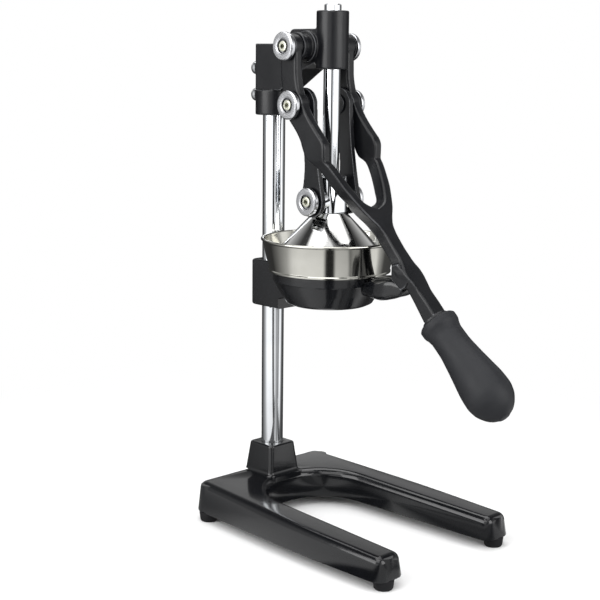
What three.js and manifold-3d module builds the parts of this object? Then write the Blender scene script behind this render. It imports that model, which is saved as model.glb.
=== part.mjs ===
// Lever citrus juice press: a standing frame, a fork lever, two toggle links, a plunger
// with a hollow press cone, and a bowl with a strainer on a clamped holder.
// Millimetres, +Z up, the handle towards -Y. The plunger axis is X = 0, Y = 0 while the
// pieces are made, and the finished assembly is centred over its footprint at the end.

import * as THREE from 'three';
import { mergeVertices } from 'three/addons/utils/BufferGeometryUtils.js';
import Module from 'manifold-3d';

const wasm = await Module();
wasm.setup();

// Fits and cuts
const gap = 0.3; // between two pieces that touch
const overrun = 2; // how far a cutting body runs past a face
const weld = 0.002; // points closer than this are one point
const roundSides = 16; // facets of a pin, disc or bore
const largeSides = 36; // facets of the bowl, cone and holder
const smallSides = 10; // facets of small screws
const hexSides = 6;
const cornerSteps = 3; // facets of a rounded corner
const edgeSteps = 3; // rings of a rounded edge
const armEdgeSteps = 1; // facets of the lever's rounded corners

// Linkage. Y runs back from the plunger axis, Z up from the table.
const fulcrumSetback = 21.9;
const bowlSeatHeight = 290; // top of the holder's ring above the table
const fulcrumRise = 238.4; // above the bowl's seat
const crankLength = 60.94; // fulcrum to link pin
const crankAngle = -0.1201; // lean of the crank towards the front at rest, radians
const linkLength = 102.35; // link pin to crosshead pin

// Feet
const footHeight = 11;
const footRadius = 11;
const footToeRadius = 9.8;
const footChamfer = 1.2;
const footScrewRadius = 2.5;
const footScrewLength = 12;
const footScrewHeadRadius = 4.8;
const footScrewHeadHeight = 3;
const footScrewRecess = 5.5;
const footBossRadius = 9;
const frontFootInset = 10.3; // from the leg tip
const backFootInset = 16.5; // from the back edge
const backFootSideInset = 9; // from the side edge

// Base casting: a U of two long legs with rounded edges, hollow underneath
const baseBackEdge = 116;
const baseBackHalfWidth = 96.5;
const baseBackCorner = 14;
const baseSideHalfWidth = 105.8;
const baseSideReach = 60; // where the sides stop widening
const baseSideCorner = 1500;
const legTipReach = 178.3;
const legTipHalfSpan = 105;
const legTipWidth = 39;
const legTipCorner = 12;
const cutoutBackEdge = 62;
const cutoutHalfWidth = 58;
const cutoutCorner = 55;
const baseBackHeight = 34;
const legTipHeight = 24.8;
const baseDraftShare = 0.16; // inward run per unit of height
const baseEdgeRadius = 8.5;
const baseWall = 5;

// Post block and column
const columnSetback = 89.5;
const columnRadius = 12.5;
const columnWall = 2.5;
const postRise = 34.4;
const postTopHalf = 19.2;
const postFootHalf = 22.4;
const postCorner = 5;
const postFlare = 3;
const postEdge = 2;
const socketRise = 9; // underside of the socket above the underside of the base
const socketFloorWall = 7;
const socketWall = 5;
const plugLength = 22;
const columnBoltRadius = 5;
const columnBoltHeadRadius = 8.5;
const columnBoltHeadHeight = 6.4;

// Head casting, measured up or down from the fulcrum
const headRise = 3.2;
const headFlatDrop = 46.7;
const headDrop = 74.2;
const headRoof = 6.1;
const headCollarRadius = 20.8;
const headHalfWidth = 16;
const sleeveRadius = 17.2;
const sleeveRise = 37.4;
const sleeveDrop = 23.2;
const sleeveEdge = 1.6;
const sleeveShoulder = 1.5;
const webRise = 18.6;
const webStepBack = 58;
const webStepFront = 43;
const webUndersideBack = 64;
const webUndersideFront = 27.5;
const webArchSetback = 11; // peak of the arch between the sleeve and the web's underside
const webArchRise = 7;
const archStartShare = 0.35; // share of the sleeve's radius
const bossFlangeRadius = 16.6;
const bossFlangeLength = 3.6;
const bossRadius = 13;
const bossLength = 8.6;
const bushWall = 2.4;
const bushLength = 13;
const headBoltRadius = 4;
const headBoltHeadRadius = 7.6;
const headBoltHeadHeight = 9.5;
const headBoltPadRadius = 8.8;
const headBoltPadHeight = 3;
const upperBoltDrop = 23.2;
const lowerBoltDrop = 52.6;

// Pins with their bright end discs
const discRadius = 15;
const discThickness = 5.5;
const discEdge = 1.3;
const discRecessRadius = 7.6;
const discRecessDepth = 2.6;
const screwHeadRadius = 6.9;
const screwHeadHeight = 2;
const screwShankRadius = 3.6;
const screwShankLength = 12;
const hexAcross = 2.9;
const hexDepth = 1.4;
const spacerRadius = 14.8;
const washerRadius = 13.4;
const washerLength = 2;
const fulcrumShaftRadius = 8;
const pinRadius = 7;
const pinHeadRadius = 11;
const pinHeadThickness = 2.4;

// Fork lever
const armOuter = 44.5;
const armThickness = 11;
const armEdge = 2.4;
const fulcrumEyeRadius = 13.2;
const linkEyeRadius = 15;
const shankDrop = 27.6; // end of the shank below the bowl's seat
const shankReach = 36.1; // end of the shank in front of the rest's tip
const hookHalfWidth = 12.6;
const hookDepth = 12;
const hookRise = 16;

// Grip
const gripLength = 120.8;
const gripRadius = 25;
const gripFlangeRadius = 20.3;
const gripNeckRadius = 17.4;
const gripPitchAngle = 0.744; // below the horizontal, radians
const gripDropShare = 1.026; // start of the grip, as shares of the lever's drop and reach
const gripReachShare = 1.024;
const tangRadius = 6.5;
const tangLength = 92;
const ferruleRadius = 14.5;
const ferruleLength = 4;

// Links
const linkOuter = 29.6;
const linkThickness = 5.6;
const linkUpperEye = 18;
const linkLowerEye = 17;
const linkWaist = 9.4;
const linkBow = 5.4;

// Plunger
const rodRadius = 9;
const rodStandOut = 7;
const rodChamfer = 1.5;
const crossheadHalfWidth = 23.7;
const crossheadHalfDepth = 12.5;
const crossheadRise = 26;
const crossheadDrop = 12.9;
const crossheadNeckRadius = 13;
const crossheadFlare = 3.5;
const crossheadPinDepth = 11; // how far each pin reaches into the crosshead
const coneTopRadius = 17.8;
const coneRadius = 60;
const coneSkirt = 5;
const coneWall = 3;
const coneNutRadius = 12;
const coneNutHeight = 7;
const coneClearance = 14; // skirt of the cone above the bowl's seat

// Bowl, strainer and reamer
const bowlDepth = 36;
const rimRadius = 73;
const rimBead = 1.6;
const bowlWall = 1.8;
const bowlFootRadius = 65;
const bowlSpigotRadius = 56;
const bowlSpigotDepth = 3;
const bowlFloorRadius = 47; // hole in the floor that the strainer covers
const strainerLap = 9; // how far the strainer laps over the floor
const strainerThickness = 2;
const strainerSlotCount = 20;
const strainerSlotWidth = 2.6;
const strainerSlotInner = 34;
const strainerSlotOuter = 45;
const reamerRadius = 30;
const reamerHeight = 36;
const reamerRibCount = 8;
const reamerRibDepth = 3.2;
const ribFacets = 4;
const reamerSpigotRadius = 15;

// Bowl holder
const holderRadius = 61.4;
const holderBand = 10.5;
const holderWall = 4;
const holderDepth = 36.2;
const holderBottomRadius = 42;
const outletRadius = 17;
const funnelDepth = 28; // from the top of the ring to the floor of the funnel
const clampHalfWidth = 18;
const clampSetback = 18.5;
const clampReach = 17;
const clampRise = 2.6;
const clampDrop = 49.8;
const clampCorner = 5;
const archReach = 12;
const restRise = 4.4;
const restLength = 52.6; // tip of the rest in front of the holder's ring
const restDepth = 26.1;
const restHalfWidth = 13.5;
const restCornerShare = 0.7; // corner radius over half the smaller side
const restChamferRun = 13;
const restChamferDrop = 10.4;
const holderScrewRadius = 4;
const holderScrewDrop = 23.8;

// Geometry helpers. Every helper returns a manifold solid.

function signedVolume(position, index) {
  let sum = 0;
  const a = new THREE.Vector3();
  const b = new THREE.Vector3();
  const c = new THREE.Vector3();
  for (let i = 0; i < index.length; i += 3) {
    a.fromBufferAttribute(position, index[i]);
    b.fromBufferAttribute(position, index[i + 1]);
    c.fromBufferAttribute(position, index[i + 2]);
    sum += a.dot(b.cross(c));
  }
  return sum;
}

function toSolid(geometry) {
  geometry.deleteAttribute('normal');
  geometry.deleteAttribute('uv');
  const merged = mergeVertices(geometry);
  const triangles = [];
  const source = merged.index.array;
  for (let i = 0; i < source.length; i += 3) {
    const [a, b, c] = [source[i], source[i + 1], source[i + 2]];
    if (a !== b && b !== c && c !== a) triangles.push(a, b, c);
  }
  if (signedVolume(merged.attributes.position, triangles) < 0) triangles.reverse();
  return new wasm.Manifold(new wasm.Mesh({
    numProp: 3,
    vertProperties: merged.attributes.position.array,
    triVerts: Uint32Array.from(triangles),
  }));
}

function join(...solids) {
  return solids.reduce((sum, solid) => sum.add(solid));
}

function cut(solid, ...tools) {
  return tools.reduce((rest, tool) => rest.subtract(tool), solid);
}

// Revolves a list of [radius, height] about Z, then places it by a matrix
function revolve(profile, sides = roundSides, place = new THREE.Matrix4()) {
  const points = profile.map(([radius, height]) => new THREE.Vector2(radius, height));
  const hollow = profile.every(([radius]) => radius > 0);
  if (hollow) points.push(points[0].clone());
  const geometry = new THREE.LatheGeometry(points, sides);
  geometry.rotateX(Math.PI / 2);
  return toSolid(geometry.applyMatrix4(place));
}

function barrel(radius, low, high, sides = roundSides, place = new THREE.Matrix4()) {
  return revolve([[0, low], [radius, low], [radius, high], [0, high]], sides, place);
}

function tube(radius, bore, low, high, sides = roundSides, place = new THREE.Matrix4()) {
  return revolve([[bore, low], [radius, low], [radius, high], [bore, high]], sides, place);
}

// Places a Z-axis body with its origin at a point and its axis along a direction
function along(origin, direction) {
  const turn = new THREE.Quaternion().setFromUnitVectors(new THREE.Vector3(0, 0, 1), direction);
  return new THREE.Matrix4().compose(origin, turn, new THREE.Vector3(1, 1, 1));
}

function alongX(side, y, z) {
  return along(new THREE.Vector3(0, y, z), new THREE.Vector3(side, 0, 0));
}

function alongY(x, y, z) {
  return along(new THREE.Vector3(x, y, z), new THREE.Vector3(0, 1, 0));
}

function at(x, y, z) {
  return new THREE.Matrix4().makeTranslation(x, y, z);
}

// Rounds the corners of a closed outline given as [a, b, radius] with true arcs
function rounded(corners, steps = cornerSteps) {
  const points = [];
  const count = corners.length;
  for (let i = 0; i < count; i += 1) {
    const [a, b, radius = 0] = corners[i];
    const corner = new THREE.Vector2(a, b);
    const before = new THREE.Vector2(...corners[(i + count - 1) % count].slice(0, 2)).sub(corner);
    const after = new THREE.Vector2(...corners[(i + 1) % count].slice(0, 2)).sub(corner);
    const half = before.angleTo(after) / 2;
    const reach = Math.min(radius / Math.tan(half), before.length() / 2, after.length() / 2);
    if (reach <= 0) {
      points.push([a, b]);
      continue;
    }
    const arcRadius = reach * Math.tan(half);
    const turn = (Math.PI - 2 * half) * (before.cross(after) < 0 ? 1 : -1);
    const start = corner.clone().add(before.setLength(reach));
    const bisector = before.normalize().add(after.normalize());
    const centre = corner.clone().add(bisector.setLength(Math.hypot(reach, arcRadius)));
    for (let step = 0; step <= steps; step += 1) {
      const point = start.clone().rotateAround(centre, turn * (step / steps));
      points.push([point.x, point.y]);
    }
  }
  return points.filter(([a, b], i) => {
    const [c, d] = points[(i + points.length - 1) % points.length];
    return Math.hypot(a - c, b - d) > weld;
  });
}

// Moves anticlockwise corners [x, y, radius] inwards and fits their radii to the new line
function insetCorners(corners, distance) {
  const count = corners.length;
  return corners.map(([x, y, radius], i) => {
    const [beforeX, beforeY] = corners[(i + count - 1) % count];
    const [afterX, afterY] = corners[(i + 1) % count];
    const first = new THREE.Vector2(beforeY - y, x - beforeX).normalize();
    const second = new THREE.Vector2(y - afterY, afterX - x).normalize();
    const miter = first.clone().add(second).divideScalar(1 + first.dot(second));
    const hollow = first.cross(second) < 0;
    const fitted = Math.max(radius + (hollow ? distance : -distance), gap);
    return [x + miter.x * distance, y + miter.y * distance, fitted];
  });
}

function extrude(outline, depth, basis) {
  const shape = new THREE.Shape(outline.map(([a, b]) => new THREE.Vector2(a, b)));
  const geometry = new THREE.ExtrudeGeometry(shape, { depth, bevelEnabled: false, steps: 1 });
  return toSolid(geometry.applyMatrix4(basis));
}

// Extrudes a (Y, Z) outline from one X to another
function plateX(outline, low, high) {
  const basis = new THREE.Matrix4().makeBasis(
    new THREE.Vector3(0, 1, 0), new THREE.Vector3(0, 0, 1), new THREE.Vector3(1, 0, 0));
  return extrude(outline, high - low, basis.premultiply(at(low, 0, 0)));
}

// Extrudes an (X, Y) outline from one Z to another
function plateZ(outline, low, high) {
  return extrude(outline, high - low, at(0, 0, low));
}

// Skins a list of rings of [x, y, z] points and closes both ends
function loft(rings, placement = new THREE.Matrix4()) {
  const size = rings[0].length;
  const positions = rings.flat(2);
  const index = [];
  for (let ring = 0; ring + 1 < rings.length; ring += 1) {
    for (let i = 0; i < size; i += 1) {
      const next = (i + 1) % size;
      const a = ring * size + i;
      const b = ring * size + next;
      index.push(a, b, b + size, a, b + size, a + size);
    }
  }
  for (const ring of [0, rings.length - 1]) {
    const contour = rings[ring].map(([x, y]) => new THREE.Vector2(x, y));
    const turn = THREE.ShapeUtils.isClockWise(contour);
    for (const [a, b, c] of THREE.ShapeUtils.triangulateShape(contour, [])) {
      const face = [ring * size + a, ring * size + b, ring * size + c];
      const same = THREE.ShapeUtils.isClockWise([contour[a], contour[b], contour[c]]) === turn;
      index.push(...(same === (ring > 0) ? face : face.reverse()));
    }
  }
  const geometry = new THREE.BufferGeometry();
  geometry.setAttribute('position', new THREE.Float32BufferAttribute(positions, 3));
  geometry.setIndex(index);
  return toSolid(geometry.applyMatrix4(placement));
}

// Materials
function finish(name, color, roughness, metalness) {
  return new THREE.MeshStandardMaterial({ name, color, roughness, metalness });
}

const blackEnamel = finish('black enamel', 0x1c1c1f, 0.25, 0.2);
const satinBlack = finish('satin black coat', 0x2e2e32, 0.45, 0.2);
const chrome = finish('chrome plate', 0xd6d8da, 0.08, 1);
const stainless = finish('brushed stainless steel', 0xc4c2bc, 0.25, 1);
const nickel = finish('nickel plated steel', 0xb9babd, 0.35, 1);
const zinc = finish('zinc plated screw', 0xb7b58f, 0.4, 1);
const bronze = finish('bearing bronze', 0x9a7440, 0.4, 1);
const blackRubber = finish('black rubber', 0x1b1b1a, 0.85, 0);
const blackPlastic = finish('moulded black grip', 0x242427, 0.55, 0);

// Assembly tree: one group for each body that moves as one
const press = new THREE.Group();
const frame = new THREE.Group();
const lever = new THREE.Group();
const links = new THREE.Group();
const plunger = new THREE.Group();
const bowl = new THREE.Group();
press.add(frame);
frame.add(lever, plunger, bowl);
plunger.add(links);

function place(body, name, solid, material) {
  const mesh = solid.getMesh();
  const geometry = new THREE.BufferGeometry();
  geometry.setAttribute('position', new THREE.Float32BufferAttribute(mesh.vertProperties, 3));
  geometry.setIndex(Array.from(mesh.triVerts));
  geometry.computeVertexNormals();
  const piece = new THREE.Mesh(geometry, material);
  piece.name = name;
  body.add(piece);
}

const sides = [['left', -1], ['right', 1]];

// Where the pins stand at rest
const fulcrumHeight = bowlSeatHeight + fulcrumRise;
const linkPinSetback = fulcrumSetback + crankLength * Math.sin(crankAngle);
const linkPinHeight = fulcrumHeight - crankLength * Math.cos(crankAngle);
const crossheadPinHeight = linkPinHeight - Math.sqrt(linkLength ** 2 - linkPinSetback ** 2);

// Base casting
const baseCorners = [
  [baseBackHalfWidth, baseBackEdge, baseBackCorner],
  [-baseBackHalfWidth, baseBackEdge, baseBackCorner],
  [-baseSideHalfWidth, -baseSideReach, baseSideCorner],
  [-legTipHalfSpan, -legTipReach, legTipCorner],
  [legTipWidth - legTipHalfSpan, -legTipReach, legTipCorner],
  [-cutoutHalfWidth, cutoutBackEdge, cutoutCorner],
  [cutoutHalfWidth, cutoutBackEdge, cutoutCorner],
  [legTipHalfSpan - legTipWidth, -legTipReach, legTipCorner],
  [legTipHalfSpan, -legTipReach, legTipCorner],
  [baseSideHalfWidth, -baseSideReach, baseSideCorner],
];

function baseHeightAt(y) {
  const share = (y + legTipReach) / (baseBackEdge + legTipReach);
  return legTipHeight + (baseBackHeight - legTipHeight) * share;
}

// A drafted body over the base outline whose upper edge is rounded
function draftedBody(startInset, bottom, topWall, edge, steps) {
  const level = (distance, height) =>
    rounded(insetCorners(baseCorners, startInset + distance))
      .map(([x, y]) => [x, y, height(y)]);
  const rings = [level(0, () => bottom)];
  const drafted = baseDraftShare * (legTipHeight - topWall - edge);
  for (let step = 0; step <= steps; step += 1) {
    const turn = (step / steps) * (Math.PI / 2);
    const below = topWall + edge * (1 - Math.sin(turn));
    rings.push(level(drafted + edge * (1 - Math.cos(turn)),
      (y) => footHeight + baseHeightAt(y) - below));
  }
  return loft(rings);
}

function roundedBox(halfX, low, high, corner, steps = cornerSteps) {
  return rounded([
    [halfX, low, corner], [halfX, high, corner], [-halfX, high, corner], [-halfX, low, corner],
  ], steps);
}

// The block flares softly onto the base: rise share and spread share of the fillet
const postFootShares = [[-1, 1], [0, 1], [0.08, 0.62], [0.3, 0.3], [0.62, 0.08], [1, 0]];
const postTop = footHeight + baseHeightAt(columnSetback) + postRise;
const postEdgeShares = [[1, 0], [0.3, 0.3], [0, 1]];

function postBlock() {
  const plateTop = footHeight + baseHeightAt(columnSetback);
  const levels = [
    ...postFootShares.map(([rise, spread]) => [plateTop + postFlare * rise,
      postFootHalf + postFlare * spread]),
    ...postEdgeShares.map(([drop, inset]) => [postTop - postEdge * drop,
      postTopHalf - postEdge * inset]),
  ];
  return loft(levels.map(([z, half]) =>
    roundedBox(half, -half, half, postCorner).map(([x, y]) => [x, y + columnSetback, z])));
}

const frontFootSpan = legTipHalfSpan - legTipWidth / 2 + footBossRadius / 4;
const frontFootReach = legTipReach - frontFootInset;
const backFootSpan = baseBackHalfWidth - backFootSideInset;
const backFootSetback = baseBackEdge - backFootInset;
const footSpots = [
  ['front_left', -frontFootSpan, -frontFootReach],
  ['front_right', frontFootSpan, -frontFootReach],
  ['back_left', -backFootSpan, backFootSetback],
  ['back_right', backFootSpan, backFootSetback],
];

const onColumn = at(0, columnSetback, 0);
const socketBottom = footHeight + socketRise;
const socketFloor = socketBottom + socketFloorWall;

let baseCasting = draftedBody(0, footHeight, 0, baseEdgeRadius, edgeSteps);
baseCasting = baseCasting.subtract(
  draftedBody(baseWall, footHeight - overrun, baseWall, baseEdgeRadius / 2, 1));
baseCasting = join(
  baseCasting,
  postBlock(),
  barrel(columnRadius + socketWall, socketBottom, footHeight + baseBackHeight - baseWall,
    roundSides, onColumn),
);
for (const [, x, y] of footSpots) {
  const roof = footHeight + baseHeightAt(y) - baseWall / 2;
  baseCasting = baseCasting.add(barrel(footBossRadius, footHeight, roof, smallSides, at(x, y, 0)));
}
const footScrewTop = footScrewRecess + footScrewLength;
for (const [, x, y] of footSpots) {
  baseCasting = baseCasting.subtract(barrel(
    footScrewRadius + gap, footHeight - overrun, footScrewTop + gap, smallSides, at(x, y, 0)));
}
baseCasting = cut(
  baseCasting,
  barrel(columnRadius + gap, socketFloor, postTop + overrun, roundSides, onColumn),
  barrel(columnBoltRadius + gap, socketBottom - overrun, socketFloor + overrun, smallSides,
    onColumn),
);
place(frame, 'base_casting', baseCasting, blackEnamel);

for (const [spot, x, y] of footSpots) {
  const pad = revolve([
    [footScrewHeadRadius + gap, 0],
    [footToeRadius - footChamfer, 0],
    [footToeRadius, footChamfer],
    [footRadius, footHeight],
    [footScrewRadius + gap, footHeight],
    [footScrewRadius + gap, footScrewRecess],
    [footScrewHeadRadius + gap, footScrewRecess],
  ], smallSides, at(x, y, 0));
  place(frame, `foot_${spot}`, pad, blackRubber);
  const seat = footScrewRecess - gap;
  const screw = revolve([
    [0, seat - footScrewHeadHeight],
    [footScrewHeadRadius, seat - footScrewHeadHeight],
    [footScrewHeadRadius, seat],
    [footScrewRadius, seat],
    [footScrewRadius, footScrewTop],
    [0, footScrewTop],
  ], smallSides, at(x, y, 0));
  place(frame, `foot_screw_${spot}`, screw, zinc);
}

// Levels of the head casting
const headTop = fulcrumHeight + headRise;
const headFlatBottom = fulcrumHeight - headFlatDrop;
const headBottom = fulcrumHeight - headDrop;
const webTop = fulcrumHeight + webRise;
const sleeveTop = fulcrumHeight + sleeveRise;
const sleeveBottom = fulcrumHeight - sleeveDrop;
const columnTop = headTop - headRoof;
const bossHalfLength = headHalfWidth + bossFlangeLength + bossLength;
const headBoltSpots = [
  ['upper', fulcrumHeight - upperBoltDrop],
  ['lower', fulcrumHeight - lowerBoltDrop],
];

// Column with a bored solid foot, and the bolt that pulls it into the base
const columnFoot = socketFloor + gap;
const columnBore = columnRadius - columnWall;
place(frame, 'column_tube', revolve([
  [columnBoltRadius + gap, columnFoot],
  [columnRadius, columnFoot],
  [columnRadius, columnTop],
  [columnBore, columnTop],
  [columnBore, columnFoot + plugLength],
  [columnBoltRadius + gap, columnFoot + plugLength],
], roundSides, onColumn), chrome);
const boltHead = barrel(columnBoltHeadRadius, socketBottom - gap - columnBoltHeadHeight,
  socketBottom - gap, hexSides, onColumn);
const boltShank = barrel(columnBoltRadius, socketBottom - gap - overrun,
  columnFoot + plugLength, smallSides, onColumn);
place(frame, 'column_bolt', join(boltHead, boltShank), zinc);

// Head casting: collar, flat-sided block, web, cross boss and plunger sleeve in one piece
const headBack = columnSetback + headCollarRadius;
const boltPadFace = headBack + headBoltPadHeight;
const webOutline = [
  [columnSetback, headFlatBottom],
  [columnSetback, headTop],
  [webStepBack, headTop],
  [webStepFront, webTop],
  [0, webTop],
  [0, sleeveBottom + sleeveEdge],
  [sleeveRadius * archStartShare, sleeveBottom + sleeveEdge],
  [webArchSetback, sleeveBottom + webArchRise],
  [webUndersideFront, sleeveBottom],
  [webUndersideBack, headFlatBottom],
];
const flatSides = plateX([
  [columnSetback - headCollarRadius - overrun, headFlatBottom],
  [headBack + overrun, headFlatBottom],
  [headBack + overrun, headTop],
  [columnSetback - headCollarRadius - overrun, headTop],
], -headHalfWidth, headHalfWidth);
const sleeve = revolve([
  [0, sleeveBottom],
  [sleeveRadius, sleeveBottom],
  [sleeveRadius, sleeveTop - sleeveEdge],
  [sleeveRadius - sleeveEdge, sleeveTop],
  [0, sleeveTop],
]);
const sleeveBore = rodRadius + gap + bushWall;
const atFulcrum = alongX(1, fulcrumSetback, fulcrumHeight);
const columnHeadBore = barrel(columnRadius + gap, headBottom - overrun, columnTop + gap,
  roundSides, onColumn);
let headCasting = join(
  barrel(headCollarRadius, headBottom, headFlatBottom + overrun, roundSides, onColumn),
  barrel(headCollarRadius, headFlatBottom, headTop, roundSides, onColumn).intersect(flatSides),
  plateX(webOutline, -headHalfWidth, headHalfWidth),
  sleeve,
  barrel(bossRadius, -bossHalfLength, bossHalfLength, roundSides, atFulcrum),
  barrel(bossFlangeRadius, -headHalfWidth - bossFlangeLength, headHalfWidth + bossFlangeLength,
    roundSides, atFulcrum),
);
for (const [, height] of headBoltSpots) {
  headCasting = headCasting.add(barrel(headBoltPadRadius, columnSetback - boltPadFace + columnRadius,
    0, smallSides, alongY(0, boltPadFace, height)));
}
headCasting = cut(
  headCasting,
  columnHeadBore,
  barrel(sleeveBore, sleeveBottom - overrun, sleeveTop - sleeveShoulder),
  barrel(rodRadius + gap + gap, sleeveBottom, sleeveTop + overrun),
  barrel(fulcrumShaftRadius + gap, -bossHalfLength - overrun, bossHalfLength + overrun,
    roundSides, atFulcrum),
);
for (const [, height] of headBoltSpots) {
  headCasting = headCasting.subtract(barrel(headBoltRadius + gap, columnSetback - boltPadFace,
    overrun, smallSides, alongY(0, boltPadFace, height)));
}
place(frame, 'head_casting', headCasting, satinBlack);

// Rear bolts with domed heads and a hex socket
for (const [spot, height] of headBoltSpots) {
  const domeShares = [[1, 0], [1, 0.45], [0.88, 0.74], [0.6, 0.93], [0, 1]];
  const shank = columnSetback + columnRadius + gap - boltPadFace;
  const profile = [[0, shank], [headBoltRadius, shank], [headBoltRadius, gap]];
  for (const [radiusShare, heightShare] of domeShares) {
    profile.push([headBoltHeadRadius * radiusShare, gap + headBoltHeadHeight * heightShare]);
  }
  const spotPlace = alongY(0, boltPadFace, height);
  const socket = barrel(hexAcross, headBoltHeadHeight - hexDepth - hexDepth,
    headBoltHeadHeight + overrun, hexSides, spotPlace);
  place(frame, `head_bolt_${spot}`, revolve(profile, smallSides, spotPlace).subtract(socket),
    chrome);
}

// Guide bushes for the plunger rod
const bushSeat = sleeveTop - sleeveShoulder - gap;
const bushSpots = [['upper', bushSeat - bushLength], ['lower', sleeveBottom]];
for (const [spot, low] of bushSpots) {
  place(frame, `guide_bush_${spot}`,
    tube(sleeveBore - gap, rodRadius + gap, low, low + bushLength, roundSides), bronze);
}

// Bright end disc, its socket screw and the black spacer behind it
function endDisc(face, axisPlace) {
  const back = face - discThickness;
  return revolve([
    [screwShankRadius + gap, back],
    [discRadius, back],
    [discRadius, face - discEdge],
    [discRadius - discEdge, face],
    [discRecessRadius, face],
    [discRecessRadius, face - discRecessDepth],
    [screwShankRadius + gap, face - discRecessDepth],
  ], roundSides, axisPlace);
}

function discScrew(face, axisPlace) {
  const seat = face - discRecessDepth + gap;
  const head = seat + screwHeadHeight;
  const tip = seat - screwShankLength;
  const body = revolve([
    [0, tip],
    [screwShankRadius, tip],
    [screwShankRadius, seat],
    [screwHeadRadius, seat],
    [screwHeadRadius, head],
    [0, head],
  ], smallSides, axisPlace);
  return body.subtract(barrel(hexAcross, head - hexDepth, head + overrun, hexSides, axisPlace));
}

function screwHole(face, axisPlace) {
  const tip = face - discRecessDepth - screwShankLength;
  return barrel(screwShankRadius + gap, tip, face, smallSides, axisPlace);
}

// Fulcrum shaft, fixed in the head, that carries the lever
const armInner = armOuter - armThickness;
const outerSpacerBack = armOuter + gap;
const outerDiscFace = outerSpacerBack + washerLength + gap + discThickness;
const shaftEnd = outerDiscFace - discThickness - gap;
let fulcrumShaft = barrel(fulcrumShaftRadius, -shaftEnd, shaftEnd, roundSides, atFulcrum);
for (const [, side] of sides) {
  fulcrumShaft = fulcrumShaft.subtract(
    screwHole(outerDiscFace, alongX(side, fulcrumSetback, fulcrumHeight)));
}
place(frame, 'fulcrum_shaft', fulcrumShaft, nickel);

for (const [name, side] of sides) {
  const axis = alongX(side, fulcrumSetback, fulcrumHeight);
  place(frame, `fulcrum_disc_${name}`, endDisc(outerDiscFace, axis), nickel);
  place(frame, `fulcrum_screw_${name}`, discScrew(outerDiscFace, axis), zinc);
  place(frame, `fulcrum_spacer_${name}`,
    tube(spacerRadius, fulcrumShaftRadius + gap, bossHalfLength + gap, armInner - gap,
      roundSides, axis), satinBlack);
  place(frame, `fulcrum_washer_${name}`,
    tube(washerRadius, fulcrumShaftRadius + gap, outerSpacerBack, outerSpacerBack + washerLength,
      roundSides, axis), blackEnamel);
}

// Fork lever. Each station is a level cut through one arm, as shares of the drop, the reach
// and the arm's outer face: drop, front edge, rear edge outside, rear edge inside, outer
// face, inner face. Below the crotch the inner face lies past the middle, so the two
// mirrored arms join into one shank.
const armShares = [
  [0, 0.072, -0.072, -0.072, 1, 0.753],
  [0.107, 0.075, -0.064, -0.064, 1, 0.753],
  [0.163, 0.091, -0.053, -0.053, 1, 0.753],
  [0.22, 0.13, -0.043, -0.043, 1, 0.753],
  [0.276, 0.184, -0.002, -0.002, 1, 0.753],
  [0.332, 0.26, 0.075, 0.075, 1, 0.753],
  [0.37, 0.313, 0.114, 0.114, 1, 0.753],
  [0.39, 0.321, 0.126, 0.126, 1, 0.753],
  [0.4376, 0.321, 0.165, 0.174, 0.99, 0.745],
  [0.4564, 0.348, 0.201, 0.247, 0.952, 0.712],
  [0.49, 0.391, 0.27, 0.296, 0.887, 0.648],
  [0.5165, 0.422, 0.296, 0.331, 0.835, 0.588],
  [0.539, 0.448, 0.317, 0.358, 0.789, 0.535],
  [0.577, 0.49, 0.359, 0.406, 0.68, 0.419],
  [0.5955, 0.511, 0.383, 0.436, 0.618, 0.336],
  [0.6105, 0.527, 0.405, 0.459, 0.568, 0.187],
  [0.624, 0.541, 0.415, 0.462, 0.52, -0.02],
  [0.652, 0.57, 0.445, 0.462, 0.393, -0.02],
  [0.689, 0.618, 0.494, 0.494, 0.236, -0.02],
  [0.727, 0.669, 0.555, 0.555, 0.191, -0.02],
  [0.765, 0.719, 0.607, 0.607, 0.191, -0.02],
  [0.802, 0.773, 0.665, 0.665, 0.2, -0.02],
  [0.822, 0.798, 0.693, 0.693, 0.235, -0.02],
  [0.842, 0.825, 0.722, 0.722, 0.285, -0.02],
  [0.859, 0.848, 0.748, 0.748, 0.297, -0.02],
  [0.885, 0.89, 0.79, 0.79, 0.255, -0.02],
  [0.915, 0.931, 0.828, 0.828, 0.225, -0.02],
  [0.953, 0.992, 0.876, 0.876, 0.225, -0.02],
  [1.03, 1.104, 0.965, 0.965, 0.225, -0.02],
];
const restTip = holderRadius + restLength;
const leverDrop = fulcrumRise + shankDrop;
const leverReach = fulcrumSetback + restTip + shankReach;

function leverPoint(dropShare, reachShare) {
  return [fulcrumSetback - leverReach * reachShare, fulcrumHeight - leverDrop * dropShare];
}

function forkArm(side) {
  return loft(armShares.map(([drop, front, rearOut, rearIn, outer, inner]) => {
    const innerEdge = inner > 0 ? armEdge : gap;
    const corners = [
      [outer, front, armEdge], [outer, rearOut, armEdge],
      [inner, rearIn, innerEdge], [inner, front, innerEdge],
    ].map(([across, reach, edge]) => {
      const [y] = leverPoint(drop, reach);
      return [side * armOuter * across, y, edge];
    });
    const [, z] = leverPoint(drop, front);
    return rounded(corners, armEdgeSteps).map(([x, y]) => [x, y, z]);
  }));
}

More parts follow.
